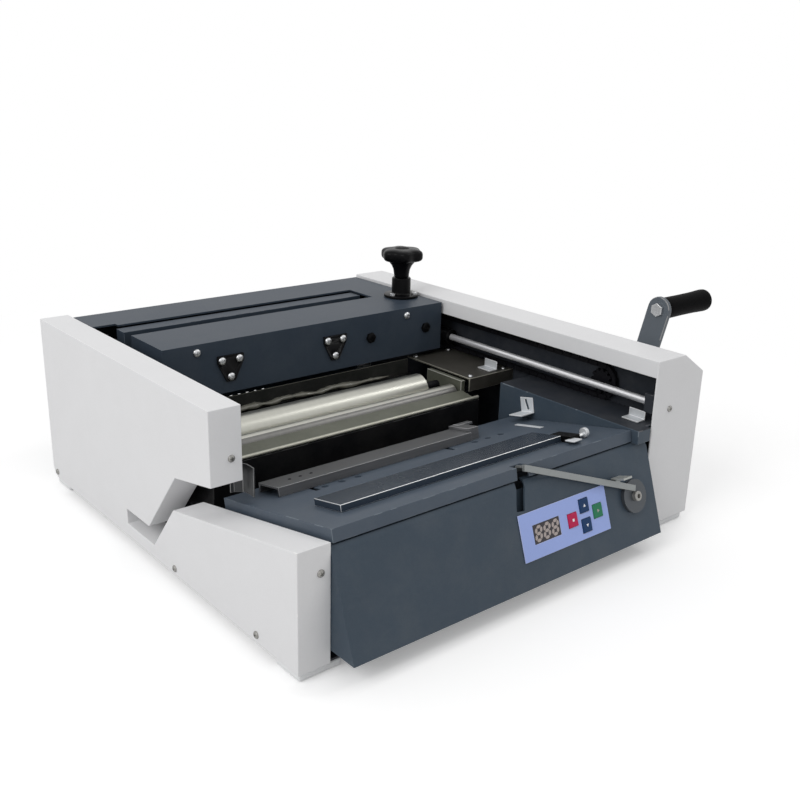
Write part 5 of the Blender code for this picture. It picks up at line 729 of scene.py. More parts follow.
# %% Housings
HOUSING_SCREW, HOUSING_REACH, HOUSING_EDGE = 0.0034, 0.0045, 0.0011
HOUSING_SCREWS = {
    "left_housing": [((0, 0.4895, 0.008), (-1, 0, 0)), ((0, 0.2058, 0.0072), (-1, 0, 0)),
                     ((0, 0.0617, 0.008), (-1, 0, 0)), ((0.0211, 0.131, 0.139), (0, -1, 0)),
                     ((0.0221, 0, 0.0858), (0, -1, 0))],
    "right_housing": [((0.4625, 0, 0.1311), (0, -1, 0)), ((0.516, 0.0617, 0.008), (1, 0, 0)),
                      ((0.516, 0.2058, 0.008), (1, 0, 0)), ((0.516, 0.4895, 0.008), (1, 0, 0))],
}
for node, listed in HOUSING_SCREWS.items():
    places = [(place(*at), out, HOUSING_SCREW) for at, out in listed]
    shell = merged_copy(node)
    press_flat(shell, places, HOUSING_REACH)
    stand_in(node + "_shell", rounded(shell, HOUSING_EDGE, segments=3), node, white_paint)
    screws(node + "_screws", places, pan_head, node, screw_steel, seed=5)

# %% [markdown]
# ## Everything that only needs its edges eased
# Most of the other parts have their right shape in the CAD already. A table says which
# finish each one takes and how much of its edges is rounded.

# %% Rounded parts
ROUNDED = {
    # The table plate's lighter slate paint is painted light on its top.
    "front_panel": (slate_paint, 0.0009), "table_plate": (lit_table_paint, 0.0009),
    "rear_cover": (slate_paint, 0.0006),
    "left_side_plate": (inner_paint_and_shade, 0.0005), "right_side_plate": (inner_paint_and_shade, 0.0005),
    "tank_end_cover": (cover_metal, 0.0006),
    "scraper_plate": (scraper_metal, 0.0004), "left_guard": (guard_metal, 0.0003),
    "left_guide_rod": (polished_steel, 0.0004), "right_guide_rod": (polished_steel, 0.0004),
    "front_rod_bracket": (pale_zinc, 0.0003), "middle_rod_bracket": (pale_zinc, 0.0003),
    "rear_nip_bar": (bar_metal, 0.0007), "side_stop": (bright_zinc, 0.0004),
    "wear_strip": (bright_zinc, 0.0002),
    "foot_front_left": (pale_rubber, 0.0009), "foot_front_right": (pale_rubber, 0.0009),
    "foot_rear_left": (pale_rubber, 0.0009), "foot_rear_right": (pale_rubber, 0.0009),
    "carriage_frame": (inner_paint_and_shade, 0.0005), "fixed_jaw": (jaw_steel, 0.0006),
    # The moving jaw's darker slate paint is painted shade.
    "moving_jaw": (shaded_carriage_paint, 0.0006), "rod_sleeve": (black_plastic, 0.0004),
    "crank_arm": (arm_paint, 0.0007), "gear_motor": (inner_paint_and_shade, 0.0006),
    "mains_inlet": (black_plastic, 0.0003), "base_frame": (inner_paint_and_shade, 0.0004),
    "control_label": (label_film, 0.0002), "display": (window_plastic, 0.0004),
    "stop_button": (red_plastic, 0.0005), "up_button": (blue_plastic, 0.0005),
    "down_button": (blue_plastic, 0.0005), "start_button": (green_plastic, 0.0005),
    # The sprockets' near-black steel is partly painted shade.
    "idler_sprocket": (chain_steel_and_shade, 0.0002), "crank_sprocket": (chain_steel_and_shade, 0.0002),
    "knob_spindle": (polished_steel, 0.0003),
}


def ease(node, material, width, zones=()):
    stand_in(node + "_part", rounded(merged_copy(node), width), node, material, zones)


for node, (material, width) in ROUNDED.items():
    ease(node, material, width)
print("rounded parts:", len(ROUNDED))

# %% [markdown]
# ## Behind the lever's slot
# The lever comes through a slot in the panel. A small painted plate stands behind the slot,
# so that it looks into a dim recess and not through the whole machine.

# %% Slot liner
SLOT_X, SLOT_T, LINER_HALF = 0.247, 0.0795, 0.011
LINER_BACK, LINER_FRONT = -0.0095, -0.0080
liner = prism(square(LINER_HALF), LINER_BACK, LINER_FRONT)
liner.transform(panel_matrix(SLOT_X, SLOT_T))
show("lever_slot_liner", liner, "front_panel", slate_paint, weighted=False)
print("liner depth:", round(-LINER_FRONT * 1000, 1), "mm")

# %% [markdown]
# ## Parts inside
# Boards, heater, sensor and bush are hidden, or nearly so, and therefore keep the CAD's own
# mesh and only get a finish.

# %% Inner parts that keep their CAD mesh
KEPT = {"button_board": board_green, "control_board": board_green, "tank_heater": zinc_steel,
        "tank_sensor": zinc_steel, "crank_bush": bronze}
for node, material in KEPT.items():
    frame["nodes"][node].data.materials.clear()
    frame["nodes"][node].data.materials.append(material)
print("kept:", sorted(KEPT))

# %% [markdown]
# ## Parts in two finishes
# The wiper plate has a scraped lip, the adjuster a white cap, the lever a dark disc behind
# its steel bar, and the rollers have black gears, whose steel is darkened as painted shade.
# Two second finishes are painted shade too: the front roller's front half is darker than its
# lit top, and the fender's top flange takes the dark inner paint. A test on the place of each
# face, in the drawing's measure, chooses the second finish, and a later test wins over an
# earlier one.

# %% Two finishes
LIP_BACK_Y = 0.2104
TANK_EAR_X, TANK_EAR_Z = 0.3835, 0.09
FENDER_SHADE_TOP_Z, FENDER_SHADE_INNER_X = 0.1185, 0.4105
MAIN_GEAR_X, FRONT_GEAR_X, SHADE_FRONT_Y = 0.3575, 0.3815, 0.2365
LEVER_X, LEVER_T = 0.393, 0.0476
DISC_RADIUS, DISC_OUT, LEVER_TAB_OUT = 0.0176, 0.0046, 0.0066
ADJUSTER_TAB_S, ADJUSTER_ROD, ADJUSTER_CAP = 0.0179, 0.0203, 0.0290
lever_pivot = on_panel(LEVER_X, LEVER_T) - ORIGIN
adjuster_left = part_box("nip_adjuster")[0].x - ORIGIN.x


def lever_out(centre):
    return (centre - lever_pivot).dot(PANEL_OUT)


def on_disc(centre):
    beside = centre - lever_pivot - PANEL_OUT * lever_out(centre)
    return lever_out(centre) < DISC_OUT and beside.length < DISC_RADIUS


def up_table(centre):
    return (centre - TABLE_FRONT).dot(TABLE_BACK)


TWO_FINISHES = {
    "wiper_plate": (plate_metal, 0.0004, [(lambda c: c.y < LIP_BACK_Y, lip_metal)]),
    "nip_lever": (lever_metal, 0.0004, [
        (on_disc, disc_metal), (lambda c: lever_out(c) > LEVER_TAB_OUT, lever_tab_metal)]),
    "glue_tank": (tank_enamel, 0.0007, [
        (lambda c: c.x > TANK_EAR_X and c.z > TANK_EAR_Z, plate_metal)]),
    # Painted shade: the fender's top flange beside the rod takes the dark inner paint.
    "fender": (slate_paint, 0.0007, [
        (lambda c: c.z > FENDER_SHADE_TOP_Z and c.x > FENDER_SHADE_INNER_X, inner_paint_and_shade)]),
    "nip_adjuster": (black_plastic, 0.0003, [
        (lambda c: up_table(c) < ADJUSTER_TAB_S, bright_zinc),
        (lambda c: c.x > adjuster_left + ADJUSTER_ROD, zinc_steel),
        (lambda c: c.x > adjuster_left + ADJUSTER_CAP, pale_zinc)]),
    "main_roller": (roller_metal, 0.0004, [(lambda c: c.x > MAIN_GEAR_X, chain_steel_and_shade)]),
    "front_roller": (roller_metal, 0.0004, [
        # Painted shade: faces on the front half of the front roller are darker than its top.
        (lambda c: c.y < SHADE_FRONT_Y, shaded_roller),
        (lambda c: c.x > FRONT_GEAR_X, chain_steel_and_shade)]),
}
for node, (material, width, zones) in TWO_FINISHES.items():
    ease(node, material, width, zones)
print("parts in two finishes:", len(TWO_FINISHES))

# %% [markdown]
# ## Front nip bar
# The bar's dark blue-grey tone is a painted reflection of the dark parts round it, and only
# its front and left rims are painted bright, as a painted highlight along those edges. Those
# rims are faces that the rounding has made, so they are picked by the edge attribute and by
# how near they lie to the bar's front and left.

# %% Front nip bar
BAR_EDGE, HIGHLIGHT_REACH = 0.0009, 0.0016
front_bar = rounded(merged_copy("front_nip_bar"), BAR_EDGE)
edge_mark = front_bar.faces.layers.float["edge"]
bar_left = min(v.co.x for v in front_bar.verts)
bar_front = min(up_table(v.co - ORIGIN) for v in front_bar.verts)
highlight_rims = []
for face in front_bar.faces:
    centre = face.calc_center_median()
    ahead = up_table(centre - ORIGIN) - bar_front
    if face[edge_mark] > 0.5 and (ahead < HIGHLIGHT_REACH or centre.x - bar_left < HIGHLIGHT_REACH):
        highlight_rims.append(face)
        face.material_index = 1
print("bright rim faces:", len(highlight_rims))
highlight_already_marked = (lambda c: False, rim_highlight)
stand_in("front_nip_bar_part", front_bar, "front_nip_bar", dark_reflection_bar, [highlight_already_marked])

# %% [markdown]
# ## Carriage
# The clamp carriage is a painted cover over the two jaws. Its front face carries two pan
# screws and two hexagon bolts, which stand where the CAD has its plain heads.

# %% Carriage
FACE_Y, FACE_OUT, CARRIAGE_EDGE = 0.322, (0, -1, 0), 0.0010
PAN_XS, PAN_Z, PAN_RADIUS = (0.094, 0.376), 0.1745, 0.0043
BOLT_XS, BOLT_Z, BOLT_RADIUS, FACE_REACH = (0.321, 0.406), 0.1555, 0.0064, 0.0075
pans = [(place(x, FACE_Y, PAN_Z), FACE_OUT, PAN_RADIUS) for x in PAN_XS]
bolts = [(place(x, FACE_Y, BOLT_Z), FACE_OUT, BOLT_RADIUS) for x in BOLT_XS]
cover = merged_copy("carriage_cover")
press_flat(cover, pans + bolts, FACE_REACH)
cover = rounded(cover, CARRIAGE_EDGE, segments=3)
# The carriage cover's darker slate paint is painted shade.
stand_in("carriage_cover_shell", cover, "carriage_cover", shaded_carriage_paint)
screws("carriage_pan_screws", pans, pan_head, "carriage_cover", zinc_steel, seed=8)
screws("carriage_bolts", bolts, hex_head, "carriage_cover", black_plastic, seed=9)

# %% [markdown]
# ## Triangular plates
# Two black plates on the carriage hold the jaws' guides, with three screws each: two above
# and one below. The upper ones stand at equal distances from the plate's middle.

# %% Triangular plates
PLATE_XS = {"left_jaw_plate": 0.1325, "right_jaw_plate": 0.2690}
PLATE_HEADS, PLATE_EDGE, PLATE_REACH = 0.0024, 0.0004, 0.0052
PLATE_SIDE, PLATE_HIGH, PLATE_LOW = 0.0105, 0.1615, 0.143
for node, x in PLATE_XS.items():
    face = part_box(node)[0].y - ORIGIN.y + PLATE_HEADS
    spots = [(x - PLATE_SIDE, PLATE_HIGH), (x + PLATE_SIDE, PLATE_HIGH), (x, PLATE_LOW)]
    places = [(place(sx, face, sz), FACE_OUT, PAN_RADIUS) for sx, sz in spots]
    plate = merged_copy(node)
    press_flat(plate, places, PLATE_REACH)
    stand_in(node + "_part", rounded(plate, PLATE_EDGE), node, black_plastic)
    screws(node + "_screws", places, pan_head, node, zinc_steel, seed=11)

# %% [markdown]
# ## Clamp knob
# The knob's head follows a rule: a flattened ball whose radius rises and falls six times
# round. Geometry nodes move every vertex of a unit ball by that rule, so the number of
# lobes and their depth stay named inputs.

# %% Knob head tree
knob_tree, start, end = new_group(
    "star head", "GeometryNodeTree",
    [("Base", SHAPE, None), ("Radius", FLOAT, 0.027), ("Half height", FLOAT, 0.008),
     ("Lobes", FLOAT, 6.0), ("Lobe depth", FLOAT, 0.15), ("Centre", VECTOR, None),
     ("Finish", FINISH, None)], [("Head", SHAPE)])
FULLNESS, FLATNESS = 0.42, 0.62


def knob_math(operation, *values):
    return sums(knob_tree, operation, *values)


ball = add(knob_tree, "GeometryNodeMeshUVSphere", Segments=144, Rings=40, Radius=1.0)
xyz = add(knob_tree, "ShaderNodeSeparateXYZ",
          Vector=add(knob_tree, "GeometryNodeInputPosition").outputs[0]).outputs
around = knob_math("ARCTAN2", xyz["Y"], xyz["X"])
ring = knob_math("SQRT", knob_math("SUBTRACT", 1.0, knob_math("MULTIPLY", xyz["Z"], xyz["Z"])))
full = knob_math("POWER", knob_math("MAXIMUM", ring, 0.0), FULLNESS)
lobes = knob_math("COSINE", knob_math("MULTIPLY", around, start["Lobes"]))
wave = knob_math("MULTIPLY_ADD", lobes, -0.5, 0.5)
reach = knob_math("SUBTRACT", 1.0, knob_math("MULTIPLY", wave, start["Lobe depth"]))
radius = knob_math("MULTIPLY", knob_math("MULTIPLY", full, reach), start["Radius"])
rise = knob_math("POWER", knob_math("ABSOLUTE", xyz["Z"]), FLATNESS)
signed_rise = knob_math("MULTIPLY", knob_math("SIGN", xyz["Z"]), rise)
moved = add(knob_tree, "ShaderNodeCombineXYZ",
            X=knob_math("MULTIPLY", knob_math("COSINE", around), radius),
            Y=knob_math("MULTIPLY", knob_math("SINE", around), radius),
            Z=knob_math("MULTIPLY", signed_rise, start["Half height"])).outputs[0]
shaped = add(knob_tree, "GeometryNodeSetPosition", Geometry=ball.outputs["Mesh"], Position=moved)
lifted = add(knob_tree, "GeometryNodeSetPosition", Geometry=shaped.outputs[0],
             Offset=start["Centre"])
end_tree(knob_tree, lifted.outputs[0], start["Finish"], end["Head"])

# %% [markdown]
# ## The knob's parts
# The head is grown by the tree; the neck and the cap in its middle are turned. All three
# share the axis of the CAD knob, which the middle of its box gives.

# %% Clamp knob
HEAD_TALL, CAP_TALL, KNOB_SIDES = 0.016, 0.0011, 64
knob_low, knob_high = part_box("clamp_knob")
knob_centre = Vector((knob_low.x + knob_high.x, knob_low.y + knob_high.y,
                      2 * knob_high.z - HEAD_TALL)) / 2
star = grown("clamp_knob_head", bpy.data.meshes.new("empty"), knob_tree, "clamp_knob",
             Radius=0.027, Half_height=HEAD_TALL / 2, Lobes=6.0, Lobe_depth=0.15,
             Centre=knob_centre, Finish=black_plastic)
star.data.shade_smooth()
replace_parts(star, "clamp_knob")


def on_knob_axis(z):
    return Vector((knob_centre.x, knob_centre.y, z))


NECK = [(0, 0), (0, 0.0082), (0.0008, 0.0092), (0.004, 0.0095), (0.010, 0.0105),
        (0.015, 0.0128), (0.019, 0.0160), (0.0225, 0.0178), (0.0225, 0)]
neck = turned(NECK, KNOB_SIDES, on_knob_axis(knob_low.z))
show("clamp_knob_neck", neck, "clamp_knob", black_plastic)
CAP = [(0, 0), (0, 0.0088), (0.0006, 0.0092), (CAP_TALL, 0.0088), (CAP_TALL, 0)]
cap = turned(CAP, KNOB_SIDES, on_knob_axis(knob_high.z - CAP_TALL))
show("clamp_knob_cap", cap, "clamp_knob", grip_plastic)

# %% [markdown]
# ## Knob post
# The post is a turned flange with three socket cap screws round a short sleeve. Its profile
# is stretched to the height that the CAD gives it.

# %% Knob post
POST = [(0, 0), (0, 0.0208), (0.0007, 0.0215), (0.0025, 0.0215), (0.0032, 0.0208),
        (0.0034, 0.0135), (0.0044, 0.0122), (0.0060, 0.0118), (0.0230, 0.0118),
        (0.0240, 0.0108), (0.0242, 0.0058), (0.0242, 0)]
RING_RADIUS, FLANGE_TOP, RING_SCREW, RING_TURN = 0.0166, 0.0031, 0.0032, 0.6
post_low, post_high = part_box("knob_post")
post_foot = on_knob_axis(post_low.z)
post_tall = post_high.z - post_low.z
scaled = [(a * post_tall / POST[-1][0], r) for a, r in POST]
stand_in("knob_post_part", turned(scaled, KNOB_SIDES, post_foot), "knob_post", black_plastic)
ring_places = [(post_foot + Vector((math.cos(a), math.sin(a), 0)) * RING_RADIUS
                + Vector((0, 0, FLANGE_TOP)), (0, 0, 1), RING_SCREW)
               for a in (math.tau * (i + RING_TURN) / 3 for i in range(3))]
screws("knob_post_screws", ring_places, cap_head, "knob_post", zinc_steel, seed=4)

# %% [markdown]
# ## Crank grip and bolts
# The grip is a soft black handle that spins on its bolt. It is turned, with a slight waist
# and a rounded end; its profile gives shares of the grip's length, and radii. The lever's
# bolt is a socket cap screw that sits on the lever's disc.

# %% Crank grip and bolts
grip_low, grip_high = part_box("crank_grip")
grip_length = grip_high.x - grip_low.x
grip_axis = Vector((grip_low.x, (grip_low.y + grip_high.y) / 2, (grip_low.z + grip_high.z) / 2))
GRIP = [(0, 0), (0, 0.0098), (0.008, 0.0110), (0.02, 0.0116), (0.12, 0.0118), (0.40, 0.0116),
        (0.70, 0.0118), (0.86, 0.0123), (0.93, 0.0125), (0.970, 0.0122), (0.988, 0.0110),
        (0.997, 0.0085), (1.0, 0.0050), (1.0, 0)]
GRIP_SIDES = 72
handle = turned([(a * grip_length, r) for a, r in GRIP], GRIP_SIDES, grip_axis, RIGHT)
stand_in("crank_grip_part", handle, "crank_grip", grip_plastic)
ease("grip_bolt", zinc_steel, 0.0003)

BOLT_SEAT, LEVER_BOLT = 0.0043, 0.0050
seat = on_panel(LEVER_X, LEVER_T, BOLT_SEAT)
bolt = screws("lever_bolt_head", [(seat, PANEL_OUT, LEVER_BOLT)], cap_head, "lever_bolt",
              screw_steel, seed=2)
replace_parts(bolt, "lever_bolt")

# %% [markdown]
# ## Drive chain
# A bush chain runs from the crank to the rear sprocket. Its path is a long loop; geometry
# nodes step along it and set an inner and an outer link by turns, each turned to the path.

# %% Chain links
CHAIN_LEFT, CHAIN_RIGHT = 0.4552, 0.4602
CHAIN_X = (CHAIN_LEFT + CHAIN_RIGHT) / 2
CHAIN_PITCH, CHAIN_RADIUS = 0.00635, 0.0175
LINK_END, BUSH_RADIUS, BUSH_PROUD = 0.0026, 0.0015, 0.0001


def link_plates(name, inner, outer):
    """Two plates with round ends, and a bush between them, along the y axis."""
    solid = bmesh.new()
    ends = []
    for side, middle in ((1, CHAIN_PITCH / 2), (-1, -CHAIN_PITCH / 2)):
        for i in range(5):
            angle = math.radians(-90 + 45 * i)
            ends.append((middle + side * LINK_END * math.cos(angle),
                         side * LINK_END * math.sin(angle)))
    for low, high in ((inner, outer), (-outer, -inner)):
        prism(ends, low, high, solid)
    half = inner + BUSH_PROUD
    bush = [(-half, 0), (-half, BUSH_RADIUS), (half, BUSH_RADIUS), (half, 0)]
    turned(bush, 8, Vector((CHAIN_PITCH / 2, 0, 0)), solid=solid)
    solid.transform(Matrix(((0, 0, 1, 0), (1, 0, 0, 0), (0, 1, 0, 0), (0, 0, 0, 1))))
    return head_object(name, solid)


inner_link = link_plates("inner_link", 0.0010, 0.0016)
outer_link = link_plates("outer_link", 0.0018, 0.0024)
heads += [inner_link, outer_link]
print("link faces:", len(inner_link.data.polygons))

# %% [markdown]
# ## The tree that lays the chain
# The path becomes a curve with as many points as the chain has links. Inner links stand on
# the odd points and outer links on the even ones, all turned to the curve's direction.

# %% Chain tree
chain_tree, start, end = new_group(
    "chain on a path", "GeometryNodeTree",
    [("Path", SHAPE, None), ("Links", WHOLE, 136), ("Inner link", OBJECT, None),
     ("Outer link", OBJECT, None), ("Finish", FINISH, None)], [("Chain", SHAPE)])
path = add(chain_tree, "GeometryNodeMeshToCurve", Mesh=start["Path"]).outputs[0]
steps = add(chain_tree, "GeometryNodeResampleCurve", {"mode": "COUNT"}, Curve=path,
            Count=start["Links"]).outputs[0]
along = add(chain_tree, "FunctionNodeAlignRotationToVector", {"axis": "Y", "pivot_axis": "X"},
            Vector=add(chain_tree, "GeometryNodeInputTangent").outputs[0]).outputs[0]
number = add(chain_tree, "GeometryNodeInputIndex").outputs[0]
odd = sums(chain_tree, "MODULO", number, 2.0)
even = sums(chain_tree, "SUBTRACT", 1.0, odd)
both = add(chain_tree, "GeometryNodeJoinGeometry")
for chosen, socket in ((odd, "Inner link"), (even, "Outer link")):
    shape = add(chain_tree, "GeometryNodeObjectInfo", Object=start[socket]).outputs["Geometry"]
    set_links = add(chain_tree, "GeometryNodeInstanceOnPoints", Points=steps, Instance=shape,
                    Selection=chosen, Rotation=along)
    chain_tree.links.new(set_links.outputs[0], both.inputs[0])
end_tree(chain_tree, both.outputs[0], start["Finish"], end["Chain"])

# %% [markdown]
# ## The chain's path
# Two half circles round the axles, joined by straight runs, make the loop. Its length over
# the pitch gives the number of links, made even so that inner and outer ones meet.

# %% Drive chain
FRONT_Y, REAR_Y, AXLE_Z = 0.0856, 0.4640, 0.1400
ARC_STEPS = 12
loop = []
for centre, first in ((REAR_Y, -90), (FRONT_Y, 90)):
    for i in range(ARC_STEPS + 1):
        angle = math.radians(first + 180 / ARC_STEPS * i)
        loop.append(tuple(place(CHAIN_X, centre + CHAIN_RADIUS * math.cos(angle),
                                AXLE_Z + CHAIN_RADIUS * math.sin(angle))))
loop_mesh = bpy.data.meshes.new("chain_path")
loop_mesh.from_pydata(loop, [(i, (i + 1) % len(loop)) for i in range(len(loop))], [])
loop_length = 2 * (REAR_Y - FRONT_Y) + math.tau * CHAIN_RADIUS
link_count = 2 * round(loop_length / CHAIN_PITCH / 2)
# The chain's near-black steel is partly painted shade.
chain = grown("drive_chain_links", loop_mesh, chain_tree, "drive_chain", Links=link_count,
              Inner_link=inner_link, Outer_link=outer_link, Finish=chain_steel_and_shade)
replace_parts(chain, "drive_chain")
print(link_count, "links in", round(loop_length, 3), "m")

# %% [markdown]
# ## Display digits
# A three-digit display shows its segments through a dark window. Each digit is seven
# six-sided bars, leaning a little.

# %% Display digits
DIGIT_WIDTH, DIGIT_HEIGHT, DIGIT_BAR, DIGIT_GAP = 0.0066, 0.0124, 0.0030, 0.0004
SLANT = math.tan(math.radians(8))
DIGIT_PITCH, DIGIT_THICK, SUNK = 0.0112, 0.00012, 0.00002
DISPLAY_X, DISPLAY_T, DISPLAY_FACE = 0.2665, 0.0471, 0.0011


def segment(x, y, upright):
    half = (DIGIT_HEIGHT / 2 if upright else DIGIT_WIDTH) / 2 - DIGIT_GAP
    b = DIGIT_BAR / 2
    points = [(-half, 0), (-half + b, -b), (half - b, -b), (half, 0), (half - b, b), (-half + b, b)]
    if upright:
        points = [(-v, u) for u, v in points]
    return [(x + u + (y + v) * SLANT, y + v) for u, v in points]


def eight(x, solid):
    w, h = DIGIT_WIDTH / 2, DIGIT_HEIGHT / 2
    for y in (-h, 0, h):
        prism(segment(x, y, False), 0, DIGIT_THICK, solid)
    for side in (-w, w):
        for y in (-h / 2, h / 2):
            prism(segment(x + side, y, True), 0, DIGIT_THICK, solid)


digits = bmesh.new()
for step in (-DIGIT_PITCH, 0, DIGIT_PITCH):
    eight(step, digits)
digits.transform(panel_matrix(DISPLAY_X, DISPLAY_T, DISPLAY_FACE - SUNK))
print("display:", len(digits.faces), "faces in three digits")
show("display_digits", digits, "display", digit_light, weighted=False)

# %% [markdown]
# ## Button marks
# The four buttons stand in a cross and carry three plain arrows and a square. Each mark is
# a thin raised outline, sunk a little into its button so that no gap shows.

# %% Button marks
BUTTON_PROUD, MARK_THICK = 0.0012, 0.00010
BUTTON_X, BUTTON_T, BUTTON_STEP_X, BUTTON_STEP_T = 0.3200, 0.0471, 0.0180, 0.0097
ARROW = [(-0.0017, -0.0012), (0.0017, -0.0012), (0, 0.0017)]
MARKS = {"up_button": (0, 1, ARROW, mark_white),
         "stop_button": (-1, 0, square(0.0013), mark_white),
         "down_button": (0, -1, [(x, -y) for x, y in ARROW], mark_white),
         "start_button": (1, 0, [(y, x) for x, y in ARROW], digit_light)}
for node, (right, up, outline, material) in MARKS.items():
    mark = prism(outline, 0, MARK_THICK)
    mark.transform(panel_matrix(BUTTON_X + right * BUTTON_STEP_X,
                                BUTTON_T + up * BUTTON_STEP_T,
                                DISPLAY_FACE + BUTTON_PROUD - SUNK))
    show(node + "_mark", mark, node, material, weighted=False)
print("marks:", sorted(MARKS))

# %% [markdown]
# ## Glue bead
# Hot glue never stays clean: it sets in a lumpy bead along the scraper. The bead is a flat
# tube whose size and path follow noise, which gives the same lumps in every run.

# %% Glue bead
def lumps(x, terms):
    """Noise along x, added up from terms of (height, scale, seed)."""
    return sum(high * noise.noise(Vector((x * scale, seed, 0.5))) for high, scale, seed in terms)


BEAD_X0, BEAD_X1, BEAD_Y, BEAD_Z = 0.058, 0.352, 0.3246, 0.1018
BEAD_STEPS, BEAD_SIDES, BEAD_SIZE, BEAD_DEPTH_SHARE = 150, 10, 0.0026, 1.5
SWELLS = ((0.0017, 55, 1.0), (0.0008, 170, 4.0))
SWAYS, RISES = ((0.0014, 40, 9.0),), ((0.0030, 45, 6.0),)
TAPER, BLUNT_SHARE = 8, 0.15
bead = bmesh.new()
rings = []
for i in range(BEAD_STEPS + 1):
    x = BEAD_X0 + (BEAD_X1 - BEAD_X0) * i / BEAD_STEPS
    ends = min(1.0, TAPER * min(i, BEAD_STEPS - i) / BEAD_STEPS + BLUNT_SHARE)
    size = (BEAD_SIZE + lumps(x, SWELLS)) * ends
    centre = place(x, BEAD_Y + lumps(x, SWAYS), BEAD_Z + lumps(x, RISES))
    rings.append([bead.verts.new(centre + Vector((0, size * BEAD_DEPTH_SHARE * math.cos(a),
                                                  size * math.sin(a))))
                  for a in (math.tau * k / BEAD_SIDES for k in range(BEAD_SIDES))])
for low, high in zip(rings, rings[1:]):
    for k in range(BEAD_SIDES):
        m = (k + 1) % BEAD_SIDES
        bead.faces.new((low[k], low[m], high[m], high[k]))
bead.faces.new(rings[0])
bead.faces.new(rings[-1][::-1])
bmesh.ops.recalc_face_normals(bead, faces=bead.faces)
print("bead faces:", len(bead.faces))
show("glue_bead", bead, "scraper_plate", glue_skin, weighted=False)

# %% [markdown]
# ## Glue pool
# The rest of the glue stands in the tank, round the rollers. A gently wavy grid is pulled
# down to the tank's floor, which makes it a closed slab. The extrusion lists the slab's side
# walls in an order that changes from run to run, so the faces are sorted by their places.

# %% Glue pool
POOL_X, POOL_Y, POOL_BASE, POOL_TOP = (0.0505, 0.3835), (0.2145, 0.3215), 0.0630, 0.0860
POOL_WAVE, POOL_SCALE = 0.0009, 30
pool = bmesh.new()
bmesh.ops.create_grid(pool, x_segments=60, y_segments=20, size=0.5)
for vertex in pool.verts:
    x = POOL_X[0] + (POOL_X[1] - POOL_X[0]) * (vertex.co.x + 0.5)
    y = POOL_Y[0] + (POOL_Y[1] - POOL_Y[0]) * (vertex.co.y + 0.5)
    wave = POOL_WAVE * noise.noise(Vector((x * POOL_SCALE, y * POOL_SCALE, 2.0)))
    vertex.co = place(x, y, POOL_TOP + wave)
rim = bmesh.ops.extrude_face_region(pool, geom=pool.faces[:])
for vertex in (v for v in rim["geom"] if isinstance(v, bmesh.types.BMVert)):
    vertex.co.z = place(0, 0, POOL_BASE).z
in_place_order = sorted(pool.faces, key=lambda face: tuple(face.calc_center_median()))
place_rank = {face: rank for rank, face in enumerate(in_place_order)}
pool.faces.sort(key=place_rank.get)
bmesh.ops.recalc_face_normals(pool, faces=pool.faces)
print("pool faces:", len(pool.faces))
show("glue_pool", pool, "glue_tank", glue_skin, weighted=False)

# %% [markdown]
# ## Small screws on the tank and the table
# The end cover and the rear bar are held by small screws of their own. They are the last
# ones, so the unit heads and links are removed afterwards.

# %% Small screws
COVER_XS, COVER_YS, COVER_TOP, COVER_SCREW = (0.398, 0.452), (0.3280, 0.2300), 0.118, 0.0030
BAR_SCREW_XS, BAR_S, BAR_TOP, BAR_SCREW = (0.088, 0.100, 0.112), 0.139, 0.0088, 0.0017
end_cover = [(place(x, y, COVER_TOP), (0, 0, 1), COVER_SCREW) for x in COVER_XS
             for y in COVER_YS]
screws("end_cover_screws", end_cover, pan_head, "tank_end_cover", zinc_steel, seed=6)
bar_holes = [(on_table(x, BAR_S, BAR_TOP), TABLE_OUT, BAR_SCREW) for x in BAR_SCREW_XS]
screws("rear_bar_screws", bar_holes, pan_head, "rear_nip_bar", jaw_steel, seed=7)
for head in heads:
    bpy.data.objects.remove(head)

# %% [markdown]
# ## Floor
# A plain pale floor carries the machine's shadow. The camera, mirrors and clear things see
# it white, and fully white from a step away from the machine, where it fades into the
# background. Everything else gets only a plain grey from it.

# %% Floor
FADE_FROM, FADE_TO, LIFT = 0.55, 1.05, 0.22
WHITE, PALE, GREY = (1, 1, 1, 1), (0.95, 0.95, 0.95, 1), (0.60, 0.60, 0.60, 1)


def mirror_rays(tree):
    """1 for what the camera sees, straight or through mirrors and clear things."""
    rays = add(tree, "ShaderNodeLightPath").outputs
    clear = sums(tree, "MAXIMUM", rays["Is Glossy Ray"], rays["Is Transmission Ray"])
    return sums(tree, "MAXIMUM", rays["Is Camera Ray"], clear)


def joined(tree, kind, *values):
    node = tree.nodes.new(kind)
    for socket, value in zip(node.inputs, values):
        tree.links.new(value, socket)
    return node.outputs[0]


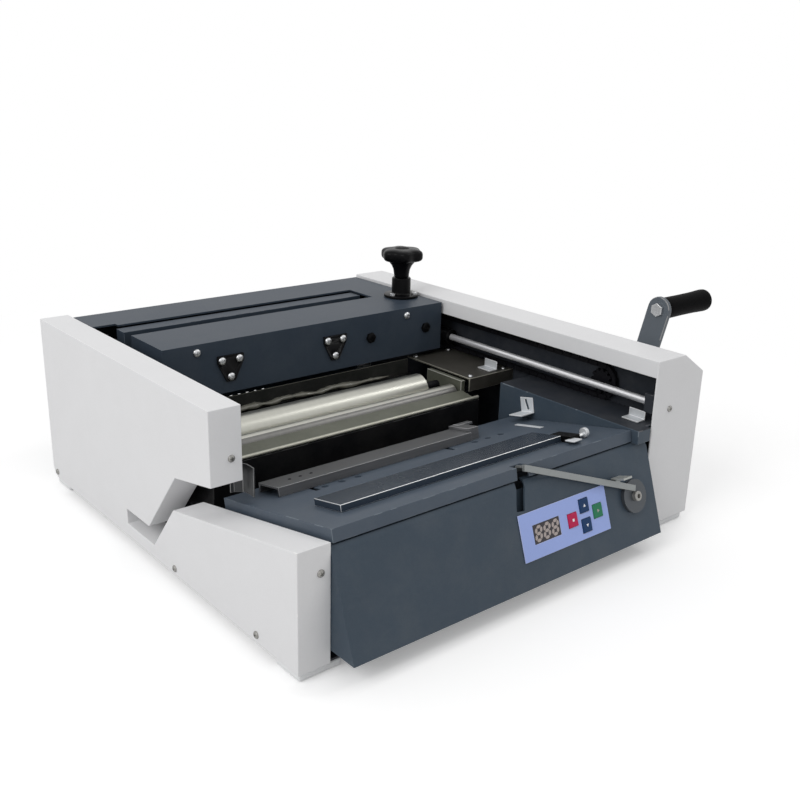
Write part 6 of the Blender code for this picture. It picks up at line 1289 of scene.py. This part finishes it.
bpy.ops.mesh.primitive_plane_add(size=24)
floor = bpy.context.active_object
floor.name = "floor"
floor_finish = bpy.data.materials.new("pale floor")
floor_finish.use_nodes = True
tree = floor_finish.node_tree
tree.nodes.clear()
spot = add(tree, "ShaderNodeVectorMath", {"operation": "LENGTH"},
           Vector=add(tree, "ShaderNodeTexCoord").outputs["Object"]).outputs["Value"]
far = add(tree, "ShaderNodeMapRange", {"interpolation_type": "SMOOTHSTEP"}, Value=spot,
          From_Min=FADE_FROM, From_Max=FADE_TO).outputs[0]
plain = add(tree, "ShaderNodeBsdfDiffuse", Color=GREY).outputs[0]
pale = add(tree, "ShaderNodeBsdfDiffuse", Color=PALE).outputs[0]
glow = add(tree, "ShaderNodeEmission", Color=WHITE, Strength=LIFT).outputs[0]
white = add(tree, "ShaderNodeEmission", Color=WHITE, Strength=1.0).outputs[0]
near = joined(tree, "ShaderNodeAddShader", pale, glow)
faded = joined(tree, "ShaderNodeMixShader", far, near, white)
mixed = joined(tree, "ShaderNodeMixShader", mirror_rays(tree), plain, faded)
surface = tree.nodes.new("ShaderNodeOutputMaterial")
tree.links.new(mixed, surface.inputs["Surface"])
floor.data.materials.append(floor_finish)
print("floor nodes:", len(tree.nodes))

# %% [markdown]
# ## Light
# The light is that of a small studio: a large soft lamp from the upper left, weak ones from
# above and from the right, and even light all round. The room is white for the camera and
# for mirrors, and weaker for everything that it lights.

# %% Light
ROOM_LIGHT = 0.64
world = bpy.data.worlds.new("studio")
world.use_nodes = True
tree = world.node_tree
tree.nodes.clear()
strength = sums(tree, "MULTIPLY_ADD", mirror_rays(tree), 1.0 - ROOM_LIGHT, ROOM_LIGHT)
room = add(tree, "ShaderNodeBackground", Color=WHITE, Strength=strength).outputs[0]
output = tree.nodes.new("ShaderNodeOutputWorld")
tree.links.new(room, output.inputs["Surface"])
scene.world = world
LAMP_TARGET = Vector((0, 0, 0.1))


def lamp(name, where, power, size):
    data = bpy.data.lights.new(name, "AREA")
    data.energy = power
    data.size = size
    lamp_object = bpy.data.objects.new(name, data)
    scene.collection.objects.link(lamp_object)
    lamp_object.location = where
    aim = LAMP_TARGET - Vector(where)
    lamp_object.rotation_euler = aim.to_track_quat("-Z", "Y").to_euler()


lamp("key_lamp", (-2.5, -0.45, 2.0), power=31, size=1.6)
lamp("top_lamp", (0.3, 0.5, 2.6), power=2, size=2.0)
lamp("side_lamp", (1.5, -0.85, 1.9), power=4, size=0.3)
scene.view_settings.view_transform = "Standard"
print("lamps:", len(bpy.data.lights))
